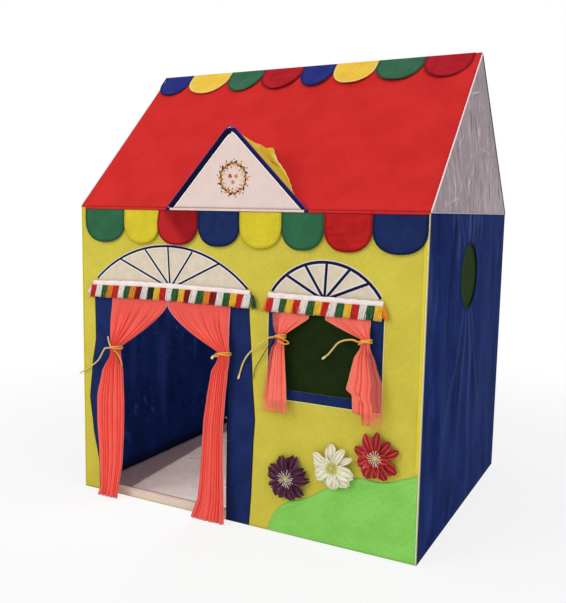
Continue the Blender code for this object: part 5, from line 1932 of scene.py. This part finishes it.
# strands in a tassel and in a loose tuft, how long they hang, their roots and where they bend
tassels = {
    "strands": 18, "loose": 8, "reach": 0.0405, "lean": -0.0085, "rootY": -0.4908,
    "steps": (0.0, 0.05, 0.1, 0.15, 0.2, 0.3, 0.4, 0.6, 0.8, 1.0),
    "bendStart": (0, -0.491, 0.7125), "bendEnd": (0, -0.491, 0.7055),
}


def makeFringe(name, fringe):
    picks = random.Random(fringe["seed"])
    colours = fringe["colours"].split()
    strands = {}

    def strand(colour, rootX, tipX, long, layer, thick=0.0016):
        bow = picks.uniform(-0.0012, 0.0012)
        points = []
        for down in tassels["steps"]:
            points.append(Vector((mix(rootX, tipX, down) + bow * math.sin(math.pi * down),
                                  tassels["rootY"] + layer - 0.0014 * down,
                                  along(bands[name]["low"], rootX) + 0.0010 - long * down)))
        made = sweepAlong(points, roundSection(thick, 5), taper=lambda s: 1.0 - 0.35 * ease(0.8, 1.0, s))
        strands.setdefault(colour, []).append(made)

    for tassel, colour in enumerate(colours):
        middle = mix(fringe["left"], fringe["right"], (tassel + 0.5) / len(colours))
        wide = (fringe["right"] - fringe["left"]) / len(colours)
        lean = tassels["lean"] + picks.uniform(-0.0035, 0.0035)
        reach = tassels["reach"] + picks.uniform(-0.0015, 0.0010)
        for number in range(tassels["strands"]):
            share = (number + 0.5) / tassels["strands"] - 0.5
            rootX = middle + share * wide * 0.97 + picks.uniform(-0.0004, 0.0004)
            tipX = middle + lean + share * wide * 1.02 + picks.uniform(-0.0009, 0.0009)
            long = reach + picks.uniform(-0.0018, 0.0012)
            strand(colour, rootX, tipX, long, (-0.0008, 0.0012)[number % 2])
    for place, colour, way in fringe["loose"]:
        for _ in range(tassels["loose"]):
            rootX = place + way * picks.uniform(-0.003, 0.002)
            strand(colour, rootX, rootX + way * picks.uniform(0.004, 0.020), picks.uniform(0.028, 0.044),
                   picks.choice((-0.0008, 0.0004, 0.0014)), 0.0013)
    # the strands of each colour become one fixed piece
    for colour, shapes in strands.items():
        piece = finishPiece(joinShapes(shapes), name + "Fringe" + colour[0].upper() + colour[1:],
                            yarns[colour], "fringe_yarn", body=None, replaces=(fringe["node"],))
        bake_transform(piece)


for name, fringe in fringes.items():
    makeFringe(name, fringe)
print("fringes tied")


# Cloth flowers

flowerPlane = -0.4853
# Each flower's edge colour is the painted highlight on its petals' ridges, and its deep colour that of
# their veins and of the painted shade in their valleys.
flowers = {  # petals are (angle in degrees, length, width), the outer ones only
    "purple": {
        "place": (0.1951, 0.1772), "node": "flower_purple", "slot": "purple_cloth", "seed": 3, "inner": 6,
        "petals": [(105, 0.073, 0.036), (74, 0.080, 0.040), (30, 0.075, 0.042), (3, 0.078, 0.030),
                   (323, 0.074, 0.038), (284, 0.071, 0.038), (245, 0.070, 0.042), (216, 0.066, 0.034),
                   (175, 0.067, 0.020), (148, 0.069, 0.042)],
        "notch": 0.12, "blunt": 0.34, "ridges": 2, "reach": 0.031, "ringStart": 0.008,
        "colour": paint(86, 18, 54), "deep": paint(34, 4, 24), "edge": paint(146, 74, 118),
        "heart": paint(70, 16, 48), "stamen": paint(250, 238, 228),
    },
    "white": {
        "place": (0.3425, 0.2370), "node": "flower_white", "slot": "white_cloth", "seed": 4, "inner": 5,
        "petals": [(100, 0.073, 0.036), (64, 0.074, 0.026), (36, 0.075, 0.020), (352, 0.071, 0.046),
                   (313, 0.072, 0.044), (280, 0.067, 0.042), (244, 0.058, 0.044), (211, 0.066, 0.038),
                   (176, 0.062, 0.046), (149, 0.074, 0.034)],
        "notch": 0.06, "blunt": 0.38, "ridges": 2.6, "reach": 0.020, "ringStart": 0.006,
        "colour": paint(250, 246, 222), "deep": paint(206, 198, 160), "edge": paint(255, 252, 242),
        "heart": paint(214, 216, 104), "stamen": paint(226, 226, 128),
    },
    "red": {
        "place": (0.4721, 0.2892), "node": "flower_red", "slot": "red_felt", "seed": 8, "inner": 6,
        "petals": [(122, 0.074, 0.032), (86, 0.076, 0.030), (56, 0.067, 0.034), (18, 0.074, 0.028),
                   (337, 0.073, 0.036), (296, 0.070, 0.036), (269, 0.061, 0.038), (240, 0.070, 0.040),
                   (208, 0.060, 0.036), (160, 0.067, 0.030)],
        "notch": 0.04, "blunt": 0.36, "ridges": 2.4, "reach": 0.025, "ringStart": 0.008,
        "colour": paint(196, 34, 32), "deep": paint(112, 10, 16), "edge": paint(246, 104, 92),
        "heart": paint(150, 24, 24), "stamen": paint(250, 236, 214),
    },
}


def petalFinish(name, flower):  # ridges from the base to the rim, with painted highlight on their crests and painted shade in their valleys
    material, tree, shader = startMaterial(name)
    cloth = uvLayer(tree)
    crest, valley = split(tree, uvLayer(tree, "fold"))[:2]
    veins = cloudAt(tree, stretched(tree, cloth, (22.0, 2.6, 1.0)), 1.0, 4.0)
    tone = blendColours(tree, remap(tree, veins, 0.40, 0.58), flower["deep"], flower["colour"])
    tone = blendColours(tree, valley, tone, flower["deep"])
    tone = blendColours(tree, crest, tone, flower["edge"])
    heart = remap(tree, split(tree, cloth)[1], -0.34, -0.12, 0.0, 0.9)
    tone = blendColours(tree, heart, tone, flower["heart"])
    endMaterial(tree, shader, tone, [(veins, 0.0006, 1.0)], 0.6, 0.2, 0.1)
    return material


stamenYellow = yarnFinish("stamenYellow", paint(226, 206, 120), paint(180, 160, 60))


def makePetal(flower, angle, length, wide, lay, picks):
    centre = Vector((flower["place"][0], flowerPlane, flower["place"][1]))
    out = Vector((math.cos(angle), 0, math.sin(angle)))
    side = Vector((-math.sin(angle), 0, math.cos(angle)))
    curl, twist, phase = picks.uniform(0.6, 1.3), picks.uniform(-0.5, 0.5), picks.uniform(-0.6, 0.6)
    bow = picks.uniform(-0.10, 0.10)

    def ridge(s, run):
        stray = wander(s * 0.5 + phase * 3, run * 0.4, 0.30, flower["seed"])
        wave = math.cos(math.pi * flower["ridges"] * s + phase + 1.6 * stray)
        return wave * ease(0.05, 0.45, run) * (0.65 + 0.6 * abs(stray))

    def point(across, down):
        s = 2 * across - 1
        width = wide * (0.34 + 0.66 * math.sin(math.pi * min(1.0, 0.10 + 0.62 * down)) ** 1.2)
        width *= 1 - flower["blunt"] * ease(0.84, 1.0, down)
        r = length * (0.08 + 0.92 * down) * (1 - 0.10 * s * s * down)
        r *= 1 + 0.035 * wander(s * 0.6, phase, 0.25, flower["seed"] + 1) * ease(0.7, 1.0, down)
        r *= 1 - flower["notch"] * bell(s, 0.3) * ease(0.75, 1.0, down)
        lift = lay + length * 0.16 * curl * math.sin(math.pi * (0.15 + 0.72 * down))
        lift += 0.0026 * s * s * math.sin(math.pi * down * 0.9) + 0.0017 * ridge(s, down)
        lift = max(0.0012, lift + twist * s * width * 0.30 * down)
        off = s * width / 2 + bow * length * down * down
        return centre + out * r + side * off + Vector((0, -lift, 0))

    # painted highlight on the ridge crests; painted shade in their valleys, and darker towards the
    # petal's sides
    def fold(across, down):
        s = 2 * across - 1
        high = ease(0.45, 1.0, ridge(s, down)) * ease(0.15, 0.4, down) * (0.55 + 0.45 * curl)
        rim = ease(0.84, 1.0, abs(s)) * ease(0.3, 0.6, down)
        return min(1.0, 0.75 * high), min(1.0, ease(-0.2, -0.9, ridge(s, down)) + 0.7 * rim)

    return clothGrid(18, 16, point, flat=(1.0, 1.0), fold=fold)


def makeFlower(name, flower):
    picks = random.Random(flower["seed"])
    petals = []
    finish = petalFinish(name + "Petal", flower)
    for angle, length, wide in flower["petals"]:
        lay = picks.uniform(0.001, 0.005)
        petals.append(makePetal(flower, math.radians(angle), length, wide, lay, picks))
    for k in range(flower["inner"]):
        angle = 2 * math.pi * (k + picks.uniform(-0.2, 0.2)) / flower["inner"]
        petals.append(makePetal(flower, angle, picks.uniform(0.034, 0.044), 0.030, 0.006, picks))
    finishPiece(joinShapes(petals), name + "Flower", finish, flower["slot"], thick=0.0005,
                replaces=(flower["node"],))
    stamens, tips = [], []
    centre = Vector((flower["place"][0], flowerPlane, flower["place"][1]))
    for k in range(18):
        angle = 2 * math.pi * (k + picks.uniform(-0.25, 0.25)) / 18
        reach = flower["reach"] * picks.uniform(0.72, 1.0)
        points = []
        for step in range(6):
            run = mix(flower["ringStart"], reach, step / 5)
            points.append(centre + Vector((math.cos(angle) * run, -0.0135 - 0.0030 * math.sin(step * 0.5),
                                           math.sin(angle) * run)))
        stamens.append(sweepAlong(points, roundSection(0.00105, 6), taper=lambda run: 0.75 + 0.4 * run))
        tip = ball(0.0014, 1)
        bmesh.ops.translate(tip, verts=tip.verts, vec=points[-1])
        tips.append(tip)
    threads = yarnFinish(name + "Stamen", flower["stamen"], darker(flower["stamen"], 0.8))
    finishPiece(joinShapes(stamens), name + "Stamens", threads, "white_cloth")
    finishPiece(joinShapes(tips), name + "StamenTips", stamenYellow, "yellow_cloth")
    button = bmesh.new()
    button.loops.layers.uv.new("cloth")
    bmesh.ops.create_uvsphere(button, u_segments=24, v_segments=12, radius=0.0085)
    for vert in button.verts:
        rough = 1 + 0.12 * wander(vert.co.x * 3, vert.co.z * 3, 0.008, flower["seed"])
        vert.co = centre + Vector((vert.co.x * rough, -0.0115 + vert.co.y * 0.55, vert.co.z * rough))
    finishPiece(button, name + "Button", stamenYellow, "yellow_cloth")


for name, flower in flowers.items():
    makeFlower(name, flower)
print("flowers sewn on")


# The frame's own tubes get their plastic

def framePlastic():  # pale plastic, a little scuffed
    material, tree, shader = startMaterial("tubePlastic")
    spot = objectSpot(tree)
    cloud, scuff = cloudAt(tree, spot, 35.0, 4.0), cloudAt(tree, spot, 260.0, 5.0)
    tone = blendColours(tree, remap(tree, cloud, 0.3, 0.7), paint(232, 231, 222), paint(219, 217, 205))
    scuffed = remap(tree, scuff, 0.60, 0.74, 0.0, 0.35)
    tone = blendColours(tree, scuffed, tone, paint(176, 172, 160))
    dull = remap(tree, scuff, 0.3, 0.7, 0.34, 0.52)
    endMaterial(tree, shader, tone, [(scuff, 0.0002, 0.5)], dull, 0.5)
    return material


tubePlastic = framePlastic()
for name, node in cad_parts.items():
    if name.startswith(("post_", "eave_corner", "eave_rail", "base_rail", "rafter", "ridge_pole")):
        for spot in node.material_slots:
            spot.material = tubePlastic


# Floor, backdrop and lamps

studio = {"world": 0.62, "keyPower": 62, "fillPower": 24, "topPower": 8, "cabinPower": 5}


def whereSeen(tree, end, plain, bright, share=1.0):
    # the bright shader where the camera sees it, the plain one where it only lights the tent
    view = addNode(tree, "ShaderNodeLightPath").outputs
    seen = sums(tree, "MAXIMUM", view["Is Camera Ray"], view["Is Glossy Ray"])
    seen = sums(tree, "MAXIMUM", seen, view["Is Transmission Ray"])
    join = addNode(tree, "ShaderNodeMixShader", {
        0: sums(tree, "MULTIPLY", seen, share), 1: plain.outputs[0], 2: bright.outputs[0],
    })
    tree.links.new(join.outputs[0], tree.nodes[end].inputs["Surface"])


def paleGround(name, colour, glow):  # glows where it is seen, more with distance
    material, tree, shader = startMaterial(name)
    endMaterial(tree, shader, colour, [], 0.95, 0.1)
    shine = addNode(tree, "ShaderNodeEmission", {"Color": (1, 1, 1, 1), "Strength": 1.0})
    away = addNode(tree, "ShaderNodeVectorMath", {0: objectSpot(tree)}, operation="LENGTH")
    share = remap(tree, away.outputs["Value"], 1.1, 2.6, glow, 1.0)
    whereSeen(tree, "Material Output", shader, shine, share)
    return material


def makeStudio():
    floor = bmesh.new()
    bmesh.ops.create_grid(floor, x_segments=4, y_segments=4, size=9)
    bmesh.ops.translate(floor, verts=floor.verts, vec=(0, 0, -0.0006))
    mesh = bpy.data.meshes.new("studioFloor")
    floor.to_mesh(mesh)
    floor.free()
    mesh.materials.append(paleGround("studioFloorPaint", paint(246, 246, 246), 0.80))
    ground = bpy.data.objects.new("studioFloor", mesh)
    bpy.context.scene.collection.objects.link(ground)
    world = bpy.data.worlds.new("studioWorld")
    world.use_nodes = True
    tree = world.node_tree
    light = tree.nodes["Background"]
    light.inputs["Color"].default_value = (1, 1, 1, 1)
    light.inputs["Strength"].default_value = studio["world"]
    white = addNode(tree, "ShaderNodeBackground", {"Color": (1, 1, 1, 1), "Strength": 1.0})
    whereSeen(tree, "World Output", light, white)
    bpy.context.scene.world = world
    lamps = (
        ("keyLamp", (-2.2, -3.6, 3.0), (0, 0, 0.7), 2.2, studio["keyPower"]),
        ("fillLamp", (3.6, -2.0, 2.0), (0, 0, 0.7), 2.4, studio["fillPower"]),
        ("topLamp", (0.2, -0.5, 4.2), (0, 0, 0.8), 2.6, studio["topPower"]),
        ("cabinLamp", (0.0, 0.0, 1.15), (0, 0, 0), 0.5, studio["cabinPower"]),
    )
    for name, place, target, size, power in lamps:
        lamp = bpy.data.lights.new(name, "AREA")
        lamp.shape = "DISK"
        lamp.size = size
        lamp.energy = power
        obj = bpy.data.objects.new(name, lamp)
        bpy.context.scene.collection.objects.link(obj)
        aim = (Vector(target) - Vector(place)).to_track_quat("-Z", "Y")
        obj.matrix_world = Matrix.Translation(place) @ aim.to_matrix().to_4x4()
    bpy.context.scene.view_settings.view_transform = "Standard"


makeStudio()
print("studio lit")
